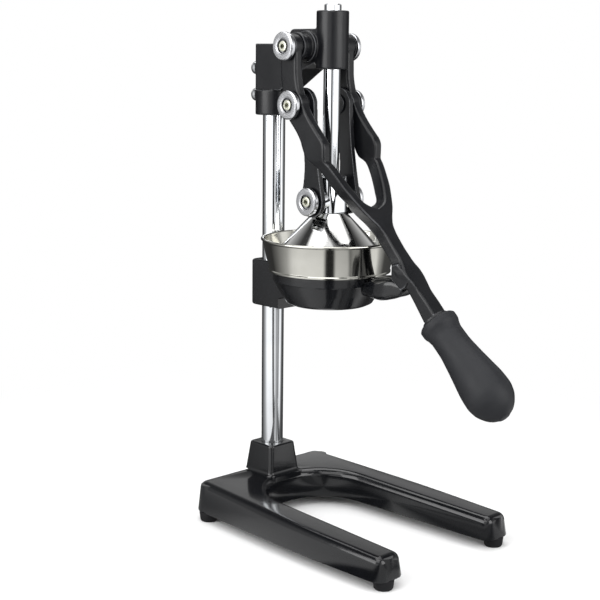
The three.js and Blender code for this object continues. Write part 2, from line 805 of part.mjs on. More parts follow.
// The hook stands under the shank and rests on the chamfered tip of the holder's front rest
const restTop = bowlSeatHeight + restRise;
const restTipChamferTop = [restChamferRun - restTip, restTop];
const restTipChamferFoot = [-restTip, restTop - restChamferDrop];
const chamferAway = new THREE.Vector2(-restChamferDrop, restChamferRun).setLength(gap);
const hookHeelY = restTipChamferTop[0] + chamferAway.x;
const hookHeelZ = restTipChamferTop[1] + chamferAway.y;
const hookToeY = restTipChamferFoot[0] + chamferAway.x;
const hookToeZ = restTipChamferFoot[1] + chamferAway.y;
const hookOutline = [
  [hookHeelY, hookHeelZ + hookDepth],
  [hookHeelY, hookHeelZ],
  [hookToeY, hookToeZ],
  [hookToeY - hookDepth / 2, hookToeZ + hookDepth / 3],
  [hookToeY - hookDepth, hookToeZ + hookDepth],
  [hookHeelY - hookRise / 2, hookHeelZ + hookRise],
];

const gripAxis = new THREE.Vector3(0, -Math.cos(gripPitchAngle), -Math.sin(gripPitchAngle));
const gripStart = new THREE.Vector3(0, ...leverPoint(gripDropShare, gripReachShare));
const atGrip = along(gripStart, gripAxis);
const shankEnd = -ferruleLength - gap;

let leverFork = join(
  forkArm(-1),
  forkArm(1),
  plateX(hookOutline, -hookHalfWidth, hookHalfWidth),
);
for (const [, side] of sides) {
  leverFork = join(
    leverFork,
    barrel(fulcrumEyeRadius, armInner, armOuter, roundSides,
      alongX(side, fulcrumSetback, fulcrumHeight)),
    barrel(linkEyeRadius, armInner, armOuter, roundSides,
      alongX(side, linkPinSetback, linkPinHeight)),
  );
}
leverFork = leverFork.subtract(
  barrel(gripRadius + gripRadius, shankEnd, gripLength, smallSides, atGrip));
leverFork = leverFork.add(barrel(tangRadius, shankEnd - overrun, tangLength, smallSides, atGrip));
leverFork = cut(
  leverFork,
  barrel(fulcrumShaftRadius + gap, -armOuter - overrun, armOuter + overrun, roundSides,
    atFulcrum),
  barrel(pinRadius + gap, -armOuter - overrun, armOuter + overrun, roundSides,
    alongX(1, linkPinSetback, linkPinHeight)),
);
place(lever, 'lever_fork', leverFork, satinBlack);

// Link pins. The inner end, with a flat head and a spacer, turns with the link. The outer end
// sits in the lever's arm behind its bright disc.
const linkInner = linkOuter - linkThickness;
for (const [name, side] of sides) {
  const axis = alongX(side, linkPinSetback, linkPinHeight);
  const pin = revolve([
    [0, linkInner - gap - pinHeadThickness],
    [pinHeadRadius, linkInner - gap - pinHeadThickness],
    [pinHeadRadius, linkInner - gap],
    [pinRadius, linkInner - gap],
    [pinRadius, armInner - gap],
    [0, armInner - gap],
  ], roundSides, axis);
  place(links, `link_pin_${name}`, pin, nickel);
  place(links, `link_pin_spacer_${name}`,
    tube(washerRadius, pinRadius + gap, linkOuter + gap, armInner - gap, roundSides, axis),
    satinBlack);
  const pinEnd = barrel(pinRadius, armInner, shaftEnd, roundSides, axis);
  place(lever, `link_pin_end_${name}`, pinEnd.subtract(screwHole(outerDiscFace, axis)), nickel);
  place(lever, `link_pin_washer_${name}`,
    tube(washerRadius, pinRadius + gap, outerSpacerBack, outerSpacerBack + washerLength,
      roundSides, axis), blackEnamel);
  place(lever, `link_pin_disc_${name}`, endDisc(outerDiscFace, axis), nickel);
  place(lever, `link_pin_screw_${name}`, discScrew(outerDiscFace, axis), zinc);
}

// Ferrule and grip
place(lever, 'grip_ferrule',
  tube(ferruleRadius, tangRadius + gap, -ferruleLength, -gap, roundSides, atGrip), satinBlack);
const gripShares = [
  [0, 0.94, gripFlangeRadius],
  [0.013, 1, gripFlangeRadius],
  [0.055, 0.995, gripFlangeRadius],
  [0.1, 1.06, gripNeckRadius],
  [0.15, 1, gripNeckRadius],
  [0.25, 1.01, gripNeckRadius],
  [0.38, 1.11, gripNeckRadius],
  [0.53, 0.88, gripRadius],
  [0.68, 0.985, gripRadius],
  [0.76, 1, gripRadius],
  [0.84, 0.93, gripRadius],
  [0.91, 0.75, gripRadius],
  [0.96, 0.52, gripRadius],
  [0.99, 0.26, gripRadius],
];
const gripProfile = gripShares.map(([length, radius, size]) => [size * radius, gripLength * length]);
const gripBody = revolve([[0, 0], ...gripProfile, [0, gripLength]], roundSides, atGrip);
place(lever, 'lever_grip', gripBody.subtract(
  barrel(tangRadius + gap, -overrun, tangLength + gap, smallSides, atGrip)), blackPlastic);

// Links: two eyes and a waist that is narrower and bowed towards the front
function linkOutline() {
  const pinUp = new THREE.Vector2(linkPinSetback, linkPinHeight);
  const pinDown = new THREE.Vector2(0, crossheadPinHeight);
  const run = pinDown.clone().sub(pinUp);
  const across = new THREE.Vector2(run.y, -run.x).normalize();
  const waistShares = [0.1, 0.3, 0.5, 0.7, 0.9];
  const front = [];
  const back = [];
  for (const share of waistShares) {
    const bulge = (2 * share - 1) ** 2;
    const eye = share < 0.5 ? linkUpperEye : linkLowerEye;
    const half = linkWaist + (eye - linkWaist) * bulge;
    const bow = linkBow * (1 - bulge);
    const middle = pinUp.clone().addScaledVector(run, share);
    front.push(middle.clone().addScaledVector(across, half + bow).toArray());
    back.unshift(middle.clone().addScaledVector(across, bow - half).toArray());
  }
  return [...front, ...back];
}

for (const [name, side] of sides) {
  const [low, high] = side < 0 ? [-linkOuter, -linkInner] : [linkInner, linkOuter];
  const upper = alongX(side, linkPinSetback, linkPinHeight);
  const lower = alongX(side, 0, crossheadPinHeight);
  const link = join(
    plateX(linkOutline(), low, high),
    barrel(linkUpperEye, linkInner, linkOuter, roundSides, upper),
    barrel(linkLowerEye, linkInner, linkOuter, roundSides, lower),
  );
  place(links, `link_${name}`, cut(
    link,
    barrel(pinRadius + gap, linkInner - overrun, linkOuter + overrun, roundSides, upper),
    barrel(pinRadius + gap, linkInner - overrun, linkOuter + overrun, roundSides, lower),
  ), satinBlack);
}

// Crosshead pins, fixed in the crosshead, with washers, bright discs and screws
const crossheadPinFoot = crossheadHalfWidth - crossheadPinDepth;
for (const [name, side] of sides) {
  const axis = alongX(side, 0, crossheadPinHeight);
  const washerEnd = linkOuter + gap + washerLength;
  const face = washerEnd + gap + discThickness;
  const pin = barrel(pinRadius, crossheadPinFoot, washerEnd, roundSides, axis);
  place(plunger, `crosshead_pin_${name}`, pin.subtract(screwHole(face, axis)), nickel);
  place(plunger, `crosshead_washer_${name}`,
    tube(washerRadius, pinRadius + gap, linkOuter + gap, washerEnd, roundSides, axis),
    blackEnamel);
  place(plunger, `crosshead_disc_${name}`, endDisc(face, axis), nickel);
  place(plunger, `crosshead_screw_${name}`, discScrew(face, axis), zinc);
}

// Plunger: rod, crosshead, hollow press cone and the nut inside it
const rodTop = sleeveTop + rodStandOut;
const crossheadTop = crossheadPinHeight + crossheadRise;
const crossheadFoot = crossheadPinHeight - crossheadDrop;
const coneTopHeight = crossheadFoot - gap;
const coneBottomHeight = bowlSeatHeight + coneClearance + coneSkirt;
const coneFloor = coneTopHeight - coneWall;
const rodBottom = coneFloor - coneNutHeight - gap;
place(plunger, 'plunger_rod', revolve([
  [0, rodBottom],
  [rodRadius, rodBottom],
  [rodRadius, rodTop - rodChamfer],
  [rodRadius - rodChamfer, rodTop],
  [0, rodTop],
]), chrome);

const crossheadBoss = barrel(crossheadHalfDepth, -crossheadHalfWidth, crossheadHalfWidth,
  roundSides, alongX(1, 0, crossheadPinHeight));
const crossheadBlock = plateX(rounded([
  [-crossheadHalfDepth, crossheadPinHeight, 0],
  [crossheadHalfDepth, crossheadPinHeight, 0],
  [crossheadHalfDepth, crossheadTop, crossheadHalfDepth / 3],
  [-crossheadHalfDepth, crossheadTop, crossheadHalfDepth / 3],
]), -crossheadHalfWidth, crossheadHalfWidth);
const crossheadNeck = revolve([
  [0, crossheadFoot],
  [crossheadNeckRadius + crossheadFlare, crossheadFoot],
  [crossheadNeckRadius, crossheadFoot + crossheadFlare],
  [crossheadNeckRadius, crossheadPinHeight],
  [0, crossheadPinHeight],
]);
let crosshead = cut(
  join(crossheadBoss, crossheadBlock, crossheadNeck),
  barrel(rodRadius + gap, crossheadFoot - overrun, crossheadTop + overrun),
);
for (const [, side] of sides) {
  crosshead = crosshead.subtract(barrel(pinRadius + gap, crossheadPinFoot - gap,
    crossheadHalfWidth + overrun, roundSides, alongX(side, 0, crossheadPinHeight)));
}
place(plunger, 'crosshead', crosshead, chrome);

const coneSlope = (coneTopHeight - coneBottomHeight) / (coneRadius - coneTopRadius);
const coneWallRun = coneWall * Math.hypot(1, 1 / coneSlope);
place(plunger, 'press_cone', revolve([
  [rodRadius + gap, coneTopHeight],
  [rodRadius + gap, coneFloor],
  [coneTopRadius - coneWallRun + coneWall / coneSlope, coneFloor],
  [coneRadius - coneWallRun, coneBottomHeight],
  [coneRadius - coneWall, coneBottomHeight - coneSkirt],
  [coneRadius, coneBottomHeight - coneSkirt],
  [coneRadius, coneBottomHeight],
  [coneTopRadius, coneTopHeight],
], largeSides), stainless);

const nutTop = coneFloor - gap;
const nutBottom = nutTop - coneNutHeight;
place(plunger, 'cone_nut', barrel(coneNutRadius, nutBottom, nutTop, hexSides).subtract(
  barrel(rodRadius + gap, nutBottom - overrun, nutTop + overrun)), zinc);

// Bowl: beaded rim, tapered wall, foot lip, a flat floor with a wide hole and a short spigot
// that drops into the holder
const rimHeight = bowlSeatHeight + bowlDepth;
const spigotFloor = bowlSeatHeight - bowlSpigotDepth;
const bowlFloorTop = bowlSeatHeight + bowlWall;
place(bowl, 'juice_bowl', revolve([
  [rimRadius - bowlWall, rimHeight - rimBead],
  [rimRadius - bowlWall + rimBead / 2, rimHeight],
  [rimRadius + rimBead / 2, rimHeight],
  [rimRadius + rimBead, rimHeight - rimBead],
  [rimRadius + rimBead / 2, rimHeight - rimBead - rimBead],
  [rimRadius, rimHeight - rimBead - rimBead],
  [bowlFootRadius, bowlFloorTop],
  [bowlFootRadius + rimBead, bowlSeatHeight + bowlWall / 2],
  [bowlFootRadius, bowlSeatHeight],
  [bowlSpigotRadius, bowlSeatHeight],
  [bowlSpigotRadius, spigotFloor],
  [bowlSpigotRadius - bowlWall, spigotFloor],
  [bowlSpigotRadius - bowlWall, bowlSeatHeight],
  [bowlFloorRadius, bowlSeatHeight],
  [bowlFloorRadius, bowlFloorTop],
  [bowlFootRadius - bowlWall, bowlFloorTop],
].reverse(), largeSides), stainless);

// Strainer plate with radial slots and a seat hole for the reamer
const strainerLow = bowlFloorTop + gap;
const strainerTop = strainerLow + strainerThickness;
const strainerRadius = bowlFloorRadius + strainerLap;
let strainer = tube(strainerRadius, reamerRadius / 2 + gap, strainerLow, strainerTop, largeSides);
for (let slot = 0; slot < strainerSlotCount; slot += 1) {
  const half = strainerSlotWidth / 2;
  const angle = (slot / strainerSlotCount) * Math.PI * 2;
  const outline = [
    [strainerSlotInner, -half], [strainerSlotOuter, -half],
    [strainerSlotOuter, half], [strainerSlotInner, half],
  ].map(([x, y]) => [
    x * Math.cos(angle) - y * Math.sin(angle), x * Math.sin(angle) + y * Math.cos(angle)]);
  strainer = strainer.subtract(plateZ(outline, strainerLow - overrun, strainerTop + overrun));
}
place(bowl, 'strainer_plate', strainer, stainless);

// Ribbed reamer: a rounded cone whose ribs fade towards the tip, with a spigot below
function reamerRing(share, z, swell) {
  const ring = [];
  const steps = reamerRibCount * ribFacets;
  for (let step = 0; step < steps; step += 1) {
    const angle = (step / steps) * Math.PI * 2;
    const wave = Math.cos(angle * reamerRibCount);
    const radius = (reamerRadius - reamerRibDepth) * share + reamerRibDepth * wave * swell;
    ring.push([radius * Math.cos(angle), radius * Math.sin(angle), z]);
  }
  return ring;
}

const reamerLevels = [[0, 1], [0.3, 0.8], [0.6, 0.56], [0.82, 0.34], [0.94, 0.2], [1, 0.07]];
const reamerFoot = strainerTop + gap;
const reamerBody = loft(reamerLevels.map(([rise, share]) =>
  reamerRing(share, reamerFoot + reamerHeight * rise, share)));
place(bowl, 'reamer', join(
  reamerBody,
  barrel(reamerRadius / 2, strainerLow, reamerFoot + overrun, roundSides),
), stainless);

// Bowl holder: funnel ring with an outlet, clamp on the column and a front rest
const holderTop = bowlSeatHeight - gap;
const holderBottom = holderTop - holderDepth;
const clampTop = holderTop + clampRise;
const clampBottom = clampTop - clampRise - clampDrop;
const holderScrewHeight = holderTop - holderScrewDrop;
const bandFoot = holderTop - holderBand;
const holderDrop = bandFoot - holderBottom;
const holderSpan = holderRadius - holderBottomRadius;
const holderOuter = [
  [holderRadius, holderTop],
  [holderRadius, bandFoot],
  [holderRadius - holderSpan * 0.12, bandFoot - holderDrop * 0.3],
  [holderRadius - holderSpan * 0.38, bandFoot - holderDrop * 0.62],
  [holderRadius - holderSpan * 0.72, bandFoot - holderDrop * 0.9],
  [holderBottomRadius, holderBottom],
];
const bowlSeatRadius = bowlSpigotRadius + gap;
const funnelBody = revolve([
  [0, holderBottom], ...holderOuter.slice().reverse(), [0, holderTop],
], largeSides);
const funnelFloor = holderTop - funnelDepth;
const funnelHollow = revolve([
  [0, holderBottom - overrun],
  [outletRadius, holderBottom - overrun],
  [outletRadius, funnelFloor],
  [holderBottomRadius - holderWall, funnelFloor + holderWall],
  [bowlSeatRadius - holderWall, bandFoot - holderWall],
  [bowlSeatRadius, bandFoot],
  [bowlSeatRadius, holderTop + overrun],
  [0, holderTop + overrun],
], largeSides);

const clampBack = columnSetback + clampSetback;
const clampFront = columnSetback - clampReach;
const clampBlock = plateZ(rounded([
  [-clampHalfWidth, clampFront, 0],
  [clampHalfWidth, clampFront, 0],
  [clampHalfWidth, clampBack, clampCorner],
  [-clampHalfWidth, clampBack, clampCorner],
]), clampBottom, clampTop);
const clampWeb = plateX([
  [holderBottomRadius, holderBottom + holderWall],
  [clampFront - archReach, holderBottom],
  [clampFront - archReach / 3, clampBottom + archReach / 2],
  [clampFront + overrun, clampBottom],
  [clampFront + overrun, clampTop],
  [holderRadius + overrun, clampTop],
  [holderRadius + overrun, holderTop],
  [holderBottomRadius, holderTop],
], -clampHalfWidth, clampHalfWidth);

// The front rest: stations along its length as shares of its length, half width and depth.
// Reach, half width, top and underside measured down from the top of the rest.
const restShares = [
  [0.11, 0.667, 0.284, 0.935],
  [0.278, 0.704, 0.284, 0.943],
  [0.389, 0.815, 0.13, 0.973],
  [0.512, 0.963, 0.023, 1],
  [0.667, 1, -0.023, 0.935],
  [0.806, 0.926, -0.023, 0.801],
  [0.917, 0.815, 0.092, 0.705],
  [1, 0.667, 0.226, 0.513],
];
const acrossAndUp = new THREE.Matrix4().makeBasis(
  new THREE.Vector3(1, 0, 0), new THREE.Vector3(0, 0, 1), new THREE.Vector3(0, -1, 0));
const restBody = loft(restShares.map(([reach, width, top, underside]) => {
  const half = restHalfWidth * width;
  const low = restTop - restDepth * underside;
  const high = restTop - restDepth * top;
  const corner = restCornerShare * Math.min(half, (high - low) / 2);
  const forward = holderBottomRadius + (restTip - holderBottomRadius) * reach;
  return roundedBox(half, low, high, corner).map(([x, z]) => [x, z, forward]);
}), acrossAndUp);
const restChamfer = plateX([
  [restTipChamferTop[0], restTipChamferTop[1]],
  [restTipChamferTop[0], restTop + restChamferRun],
  [restTipChamferFoot[0] - restChamferRun, restTop + restChamferRun],
  [restTipChamferFoot[0] - restChamferRun, restTipChamferFoot[1] - restChamferDrop],
], -restHalfWidth - overrun, restHalfWidth + overrun);

let bowlHolder = join(funnelBody, clampBlock, clampWeb, restBody.subtract(restChamfer));
bowlHolder = cut(
  bowlHolder,
  funnelHollow,
  barrel(bowlFootRadius + rimBead + gap, holderTop, clampTop + overrun, largeSides),
  barrel(columnRadius + gap, clampBottom - overrun, clampTop + overrun, roundSides, onColumn),
  barrel(holderScrewRadius + gap, columnSetback - clampBack, overrun, smallSides,
    alongY(0, clampBack, holderScrewHeight)),
);
place(frame, 'bowl_holder', bowlHolder, blackEnamel);

const holderScrewPlace = alongY(0, clampBack, holderScrewHeight);
const setScrewTip = columnSetback + columnRadius + gap - clampBack;
place(frame, 'holder_set_screw',
  barrel(holderScrewRadius, setScrewTip, -gap, smallSides, holderScrewPlace).subtract(
    barrel(hexAcross, -hexDepth - hexDepth, overrun, hexSides, holderScrewPlace)), zinc);

// The origin is the middle of the footprint, on the table
const extent = new THREE.Box3().setFromObject(press);
press.position.y = -(extent.min.y + extent.max.y) / 2;
press.updateMatrixWorld(true);

export default press;
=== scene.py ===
import logging
import math
from collections.abc import Iterable, Sequence
from dataclasses import dataclass, field
from enum import Enum
from functools import cache

import bmesh
import bpy
import numpy as np
from mathutils import Matrix, Vector


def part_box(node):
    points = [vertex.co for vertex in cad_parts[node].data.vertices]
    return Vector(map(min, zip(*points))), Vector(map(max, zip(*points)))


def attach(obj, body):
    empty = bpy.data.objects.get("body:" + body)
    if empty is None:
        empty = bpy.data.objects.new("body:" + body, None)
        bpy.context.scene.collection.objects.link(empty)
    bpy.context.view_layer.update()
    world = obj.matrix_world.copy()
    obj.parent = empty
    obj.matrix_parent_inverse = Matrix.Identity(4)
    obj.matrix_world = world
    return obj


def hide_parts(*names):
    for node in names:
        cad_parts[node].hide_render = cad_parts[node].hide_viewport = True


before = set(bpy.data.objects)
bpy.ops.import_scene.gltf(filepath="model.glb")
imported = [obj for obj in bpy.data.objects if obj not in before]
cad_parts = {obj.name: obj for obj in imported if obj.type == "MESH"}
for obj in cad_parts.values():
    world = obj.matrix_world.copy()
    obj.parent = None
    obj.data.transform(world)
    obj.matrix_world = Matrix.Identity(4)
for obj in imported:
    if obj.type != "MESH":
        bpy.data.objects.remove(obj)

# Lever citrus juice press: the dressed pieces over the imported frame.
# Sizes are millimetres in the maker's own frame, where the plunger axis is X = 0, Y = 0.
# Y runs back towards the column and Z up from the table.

log = logging.getLogger("press")

Piece = bpy.types.Object
Node = bpy.types.Node
Socket = bpy.types.NodeSocket
Tree = bpy.types.NodeTree
Point2 = tuple[float, float]
Point3 = tuple[float, float, float]
Corner = tuple[float, float, float]  # A point of an outline with the radius of its corner.

MM = 0.001
QUARTER = math.pi / 2
ROD_LOW, ROD_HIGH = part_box("plunger_rod")
AXIS_Y = float(ROD_LOW[1] + ROD_HIGH[1]) / 2

# Y and Z of the pin axes at rest, and Y of the column's axis.
FULCRUM: Point2 = (21.9, 528.4)
LINK_PIN: Point2 = (14.6, 467.9)
CROSSHEAD_PIN: Point2 = (0.0, 366.6)
COLUMN_Y = 89.5

# Radii of the bores round the column, the fulcrum shaft, the other pins and the clamp screws.
COLUMN_BORE = 12.8
SHAFT_BORE = 8.3
PIN_BORE = 7.3
SCREW_BORE = 4.3

# Radius of the three lower pins, and of the rod's bores in bushes, crosshead and cone.
PIN_RADIUS = 7.0
ROD_BORE = 9.3

# Distance from the middle to the face of a bright disc, on the lever and on the crosshead.
LEVER_END = 52.6
CROSSHEAD_END = 37.7


class Body(Enum):
    """The bodies of the frame that a piece can ride on."""

    FRAME = "frame"
    LEVER = "lever"
    LINKS = "links"
    PLUNGER = "plunger"
    BOWL = "bowl"


class Side(Enum):
    """The two sides of the press, as the sign of X."""

    LEFT = -1
    RIGHT = 1


# Materials


def linear(code: int) -> tuple[float, float, float, float]:
    """Turns an sRGB hex value into linear colour.

    Args:
        code: The colour as 0xRRGGBB.

    Returns:
        Linear red, green, blue and an alpha of one.
    """
    channels = [((code >> shift) & 255) / 255 for shift in (16, 8, 0)]
    out = [c / 12.92 if c <= 0.04045 else ((c + 0.055) / 1.055) ** 2.4 for c in channels]
    return (*out, 1.0)


def per_mm(size: float) -> float:
    """Turns the real size of one grain in millimetres into a pattern's scale."""
    return 1 / (size * MM)


def add_node(
    tree: Tree, kind: str, settings: dict[str, object] | None = None,
    inputs: dict[str | int, object] | None = None, stops: Sequence[Point2] = (),
) -> Node:
    """Adds one node with its settings, values and links.

    Args:
        tree: The node tree that takes the node.
        kind: The node's type name.
        settings: Attributes of the node by name.
        inputs: What each input takes, by its name or number: a value, an output socket, or
            a node for its first output. A list links several.
        stops: Places and brightness, where the node is a colour ramp.

    Returns:
        The new node.
    """
    node = tree.nodes.new(kind)
    for name, value in (settings or {}).items():
        setattr(node, name, value)
    for key, value in (inputs or {}).items():
        for part in value if isinstance(value, list) else [value]:
            source = part.outputs[0] if isinstance(part, Node) else part
            if isinstance(source, Socket):
                tree.links.new(source, node.inputs[key])
            else:
                node.inputs[key].default_value = source
    for number, (position, value) in enumerate(stops):
        elements = node.color_ramp.elements
        stop = elements.new(position) if number else elements[0]
        stop.position, stop.color = position, (value, value, value, 1.0)
    if stops:
        elements.remove(elements[-1])
    return node


def blank_tree(owner: bpy.types.Material | bpy.types.World) -> Tree:
    """Turns a material's or world's nodes on and returns its emptied tree.

    Args:
        owner: The material or the world.

    Returns:
        Its node tree, with no nodes.
    """
    owner.use_nodes = True
    owner.node_tree.nodes.clear()
    return owner.node_tree


def paint_light_by_shape(
    tree: Tree, plain_colour: Socket, shape_measure: Socket, reach: tuple[float, float, float, float], colour: int,
) -> Socket:
    """Mixes a second colour into a plain one by a measure of the shape, as painted light or shade.

    Args:
        tree: The material's tree.
        plain_colour: The colour before painted light or shade.
        shape_measure: A measure of the shape, such as how sharp an edge is.
        reach: From where to where the measure runs, and the painted colour's share at both ends.
        colour: The colour of the painted light or shade.

    Returns:
        The mixed colour.
    """
    ends = dict(zip(("From Min", "From Max", "To Min", "To Max"), reach))
    share = add_node(tree, "ShaderNodeMapRange", inputs={"Value": shape_measure, **ends})
    colours = {0: share, 6: plain_colour, 7: linear(colour)}
    return add_node(tree, "ShaderNodeMix", {"data_type": "RGBA"}, colours).outputs[2]


def paint_recess_shade(tree: Tree, plain_colour: Socket) -> Socket:
    """Paints shade into tight recesses that ambient occlusion finds: the gap round a screw, and its
    socket.

    Args:
        tree: The material's tree.
        plain_colour: The colour before the painted shade.

    Returns:
        The mixed colour.
    """
    gap = {"Distance": 2.4 * MM}
    # Painted shade: near-black is mixed in where ambient occlusion within 2.4 mm is low.
    hidden = add_node(tree, "ShaderNodeAmbientOcclusion", {"samples": 8}, gap).outputs["AO"]
    return paint_light_by_shape(tree, plain_colour, hidden, (0.45, 0.8, 0.97, 0.0), 0x08080A)


@dataclass(frozen=True)
class Finish:
    """A surface finish. Noise moves its relief, its colour between two ends and its gloss."""

    name: str
    slot: str
    colour: int
    second: int
    roughness: float
    grain_mm: float
    patch_mm: float
    depth_mm: float
    strength: float
    swing: float
    metallic: float = 0.0
    specular: float = 0.5
    coat: float = 0.0

    @cache
    def material(self) -> bpy.types.Material:
        """Makes the material, once.

        Returns:
            The material.
        """
        made = bpy.data.materials.new(self.name)
        made.diffuse_color = linear(self.colour)
        tree = blank_tree(made)
        height, shade, gloss = self.pattern(tree)
        relief = {"Height": height, "Distance": self.depth_mm * MM, "Strength": self.strength}
        low, high = (self.roughness * (1 + swing) for swing in (-self.swing, self.swing))
        sheen = {"Value": gloss, "From Min": 0.3, "From Max": 0.7, "To Min": low, "To Max": high}
        colours = {0: shade, 6: linear(self.colour), 7: linear(self.second)}
        mixed = add_node(tree, "ShaderNodeMix", {"data_type": "RGBA"}, colours).outputs[2]
        look = {
            "Base Color": self.age(tree, mixed),
            "Roughness": add_node(tree, "ShaderNodeMapRange", inputs=sheen),
            "Normal": add_node(tree, "ShaderNodeBump", inputs=relief), "Metallic": self.metallic,
            "Specular IOR Level": self.specular, "Coat Weight": self.coat, "Coat Roughness": 0.05,
        }
        shader = add_node(tree, "ShaderNodeBsdfPrincipled", inputs=look)
        add_node(tree, "ShaderNodeOutputMaterial", inputs={"Surface": shader})
        return made

    def pattern(self, tree: Tree) -> tuple[Node, Node, Node]:
        """Adds the noise of the relief, of the colour and of the gloss.

        Args:
            tree: The material's tree.

        Returns:
            The three nodes, which can be the same.
        """
        point = add_node(tree, "ShaderNodeTexCoord").outputs["Object"]
        grain, patches = (
            add_node(tree, "ShaderNodeTexNoise", inputs={"Vector": spot, "Scale": per_mm(size)})
            for spot, size in zip(self.spots(tree, point), (self.grain_mm, self.patch_mm))
        )
        return grain, patches, patches

    def spots(self, tree: Tree, point: Socket) -> tuple[Socket | Node, Socket | Node]:
        """Where the grain and the patches are read: both at the plain place."""
        return point, point

    def age(self, tree: Tree, plain_colour: Socket) -> Socket:
        """The colour with painted light or shade, which here is still the plain one."""
        return plain_colour


@dataclass(frozen=True)
class Enamel(Finish):
    """Stoved gloss enamel: orange peel waves over a casting grain, duller in patches."""

    grain_mm: float = 1.8
    patch_mm: float = 30.0
    depth_mm: float = 0.16
    strength: float = 0.5
    swing: float = 0.22
    specular: float = 0.32
    coat: float = 0.3
    wave_mm: float = 6.0

    def pattern(self, tree: Tree) -> tuple[Node, Node, Node]:
        """Adds the waves to the relief.

        Args:
            tree: The material's tree.

        Returns:
            The relief, and the patches for colour and gloss.
        """
        grain, patches, _ = super().pattern(tree)
        point = grain.inputs["Vector"].links[0].from_socket
        size = {"Vector": point, "Scale": per_mm(self.wave_mm)}
        waves = add_node(tree, "ShaderNodeTexNoise", inputs=size)
        parts = {0: grain, 1: 0.12, 2: waves}
        relief = add_node(tree, "ShaderNodeMath", {"operation": "MULTIPLY_ADD"}, parts)
        return relief, patches, patches


@dataclass(frozen=True)
class PowderCoat(Finish):
    """Satin powder coat: soft sheen and a fine even tooth, paler on sharp edges by a painted
    highlight.
    """

    grain_mm: float = 0.7
    patch_mm: float = 22.0
    depth_mm: float = 0.03
    strength: float = 0.4
    swing: float = 0.14
    specular: float = 0.32
    # Pale grey of the painted highlight along the sharpest edges.
    edge_highlight: int = 0xA4A6AB

    def age(self, tree: Tree, plain_colour: Socket) -> Socket:
        """Lightens the sharp edges with a painted highlight, found by their pointiness."""
        edge = add_node(tree, "ShaderNodeNewGeometry").outputs["Pointiness"]
        # Painted highlight: pale grey is mixed in where the edge is sharpest.
        return paint_light_by_shape(tree, plain_colour, edge, (0.525, 0.585, 0.0, 0.7), self.edge_highlight)


@dataclass(frozen=True)
class Chrome(Finish):
    """Bright chrome on a drawn bar: hair lines along it and slow smears in the gloss."""

    grain_mm: float = 1.6
    patch_mm: float = 26.0
    depth_mm: float = 0.0006
    strength: float = 0.1
    swing: float = 0.4
    metallic: float = 1.0

    def spots(self, tree: Tree, point: Socket) -> tuple[Socket | Node, Socket | Node]:
        """Draws the grain out along Z."""
        drawn = {"Vector": point, "Scale": (1.0, 1.0, 0.015)}
        return add_node(tree, "ShaderNodeMapping", inputs=drawn), point


class Turning(Enum):
    """The axis that a turned finish was spun about."""

    UPRIGHT = "Z"
    ACROSS = "X"


@dataclass(frozen=True)
class TurnedMetal(Finish):
    """Metal turned or spun on a lathe: fine rings round its axis that draw the light out."""

    grain_mm: float = 0.8
    patch_mm: float = 18.0
    depth_mm: float = 0.012
    strength: float = 0.6
    swing: float = 0.28
    metallic: float = 1.0
    turning: Turning = Turning.UPRIGHT
    centre: Point3 = (0.0, 0.0, 0.0)

    def pattern(self, tree: Tree) -> tuple[Node, Node, Node]:
        """Lets the gloss follow the rings."""
        rings, cloud, _ = super().pattern(tree)
        return rings, cloud, rings

    def spots(self, tree: Tree, point: Socket) -> tuple[Socket | Node, Socket | Node]:
        """Reads the rings by distance from the axis and by place along it.

        Args:
            tree: The material's tree.
            point: Place on the object.

        Returns:
            Where the rings and the cloud are read.
        """
        shift = {"Vector": point, "Location": tuple(-v for v in place(self.centre))}
        local = add_node(tree, "ShaderNodeMapping", inputs=shift)
        x, y, z = add_node(tree, "ShaderNodeSeparateXYZ", inputs={0: local}).outputs
        first, second, along = (x, y, z) if self.turning is Turning.UPRIGHT else (y, z, x)
        flat = add_node(tree, "ShaderNodeCombineXYZ", inputs={0: first, 1: second})
        radius = add_node(tree, "ShaderNodeVectorMath", {"operation": "LENGTH"}, {0: flat})
        parts = {0: radius.outputs["Value"], 1: along}
        return add_node(tree, "ShaderNodeCombineXYZ", inputs=parts), local

    def age(self, tree: Tree, plain_colour: Socket) -> Socket:
        """Paints shade into the recesses of the discs, which are turned across; spun steel gets
        none.
        """
        return paint_recess_shade(tree, plain_colour) if self.turning is Turning.ACROSS else plain_colour


@dataclass(frozen=True)
class Plated(Finish):
    """Zinc or bronze hardware: a soft metal sheen, mottled, with painted shade in its recesses."""

    grain_mm: float = 2.2
    patch_mm: float = 2.2
    depth_mm: float = 0.02
    strength: float = 0.4
    swing: float = 0.25
    metallic: float = 1.0

    def age(self, tree: Tree, plain_colour: Socket) -> Socket:
        """Paints shade into its recesses."""
        return paint_recess_shade(tree, plain_colour)


@dataclass(frozen=True)
class Moulded(Finish):
    """Moulded rubber or plastic: matt, with a spark-eroded grain and a slight cloud."""

    grain_mm: float = 0.5
    patch_mm: float = 14.0
    depth_mm: float = 0.05
    strength: float = 0.5
    swing: float = 0.08
    specular: float = 0.24


# Black enamel, sprayed on rough iron and stoved: deep black with a sharp, faintly wavy
# highlight. Waves and grain are wide enough to show, so none is drawn coarser.
ENAMEL = Enamel("stoved black enamel", "black enamel", 0x0F1013, 0x0A0B0D, 0.17)

# Black polyester powder, baked on a casting: a broad soft sheen. Its tooth is about 0.3 mm
# in truth and is drawn 0.7 mm coarse to show.
COAT = PowderCoat("satin black powder coat", "satin black coat", 0x0B0C0F, 0x111215, 0.31)

# Chrome on polished steel bar: a mirror. Wipe marks are hair fine and are drawn 1.6 mm apart.
CHROME = Chrome("bright chrome plate", "chrome plate", 0xE6E8EA, 0xD2D5D9, 0.08)

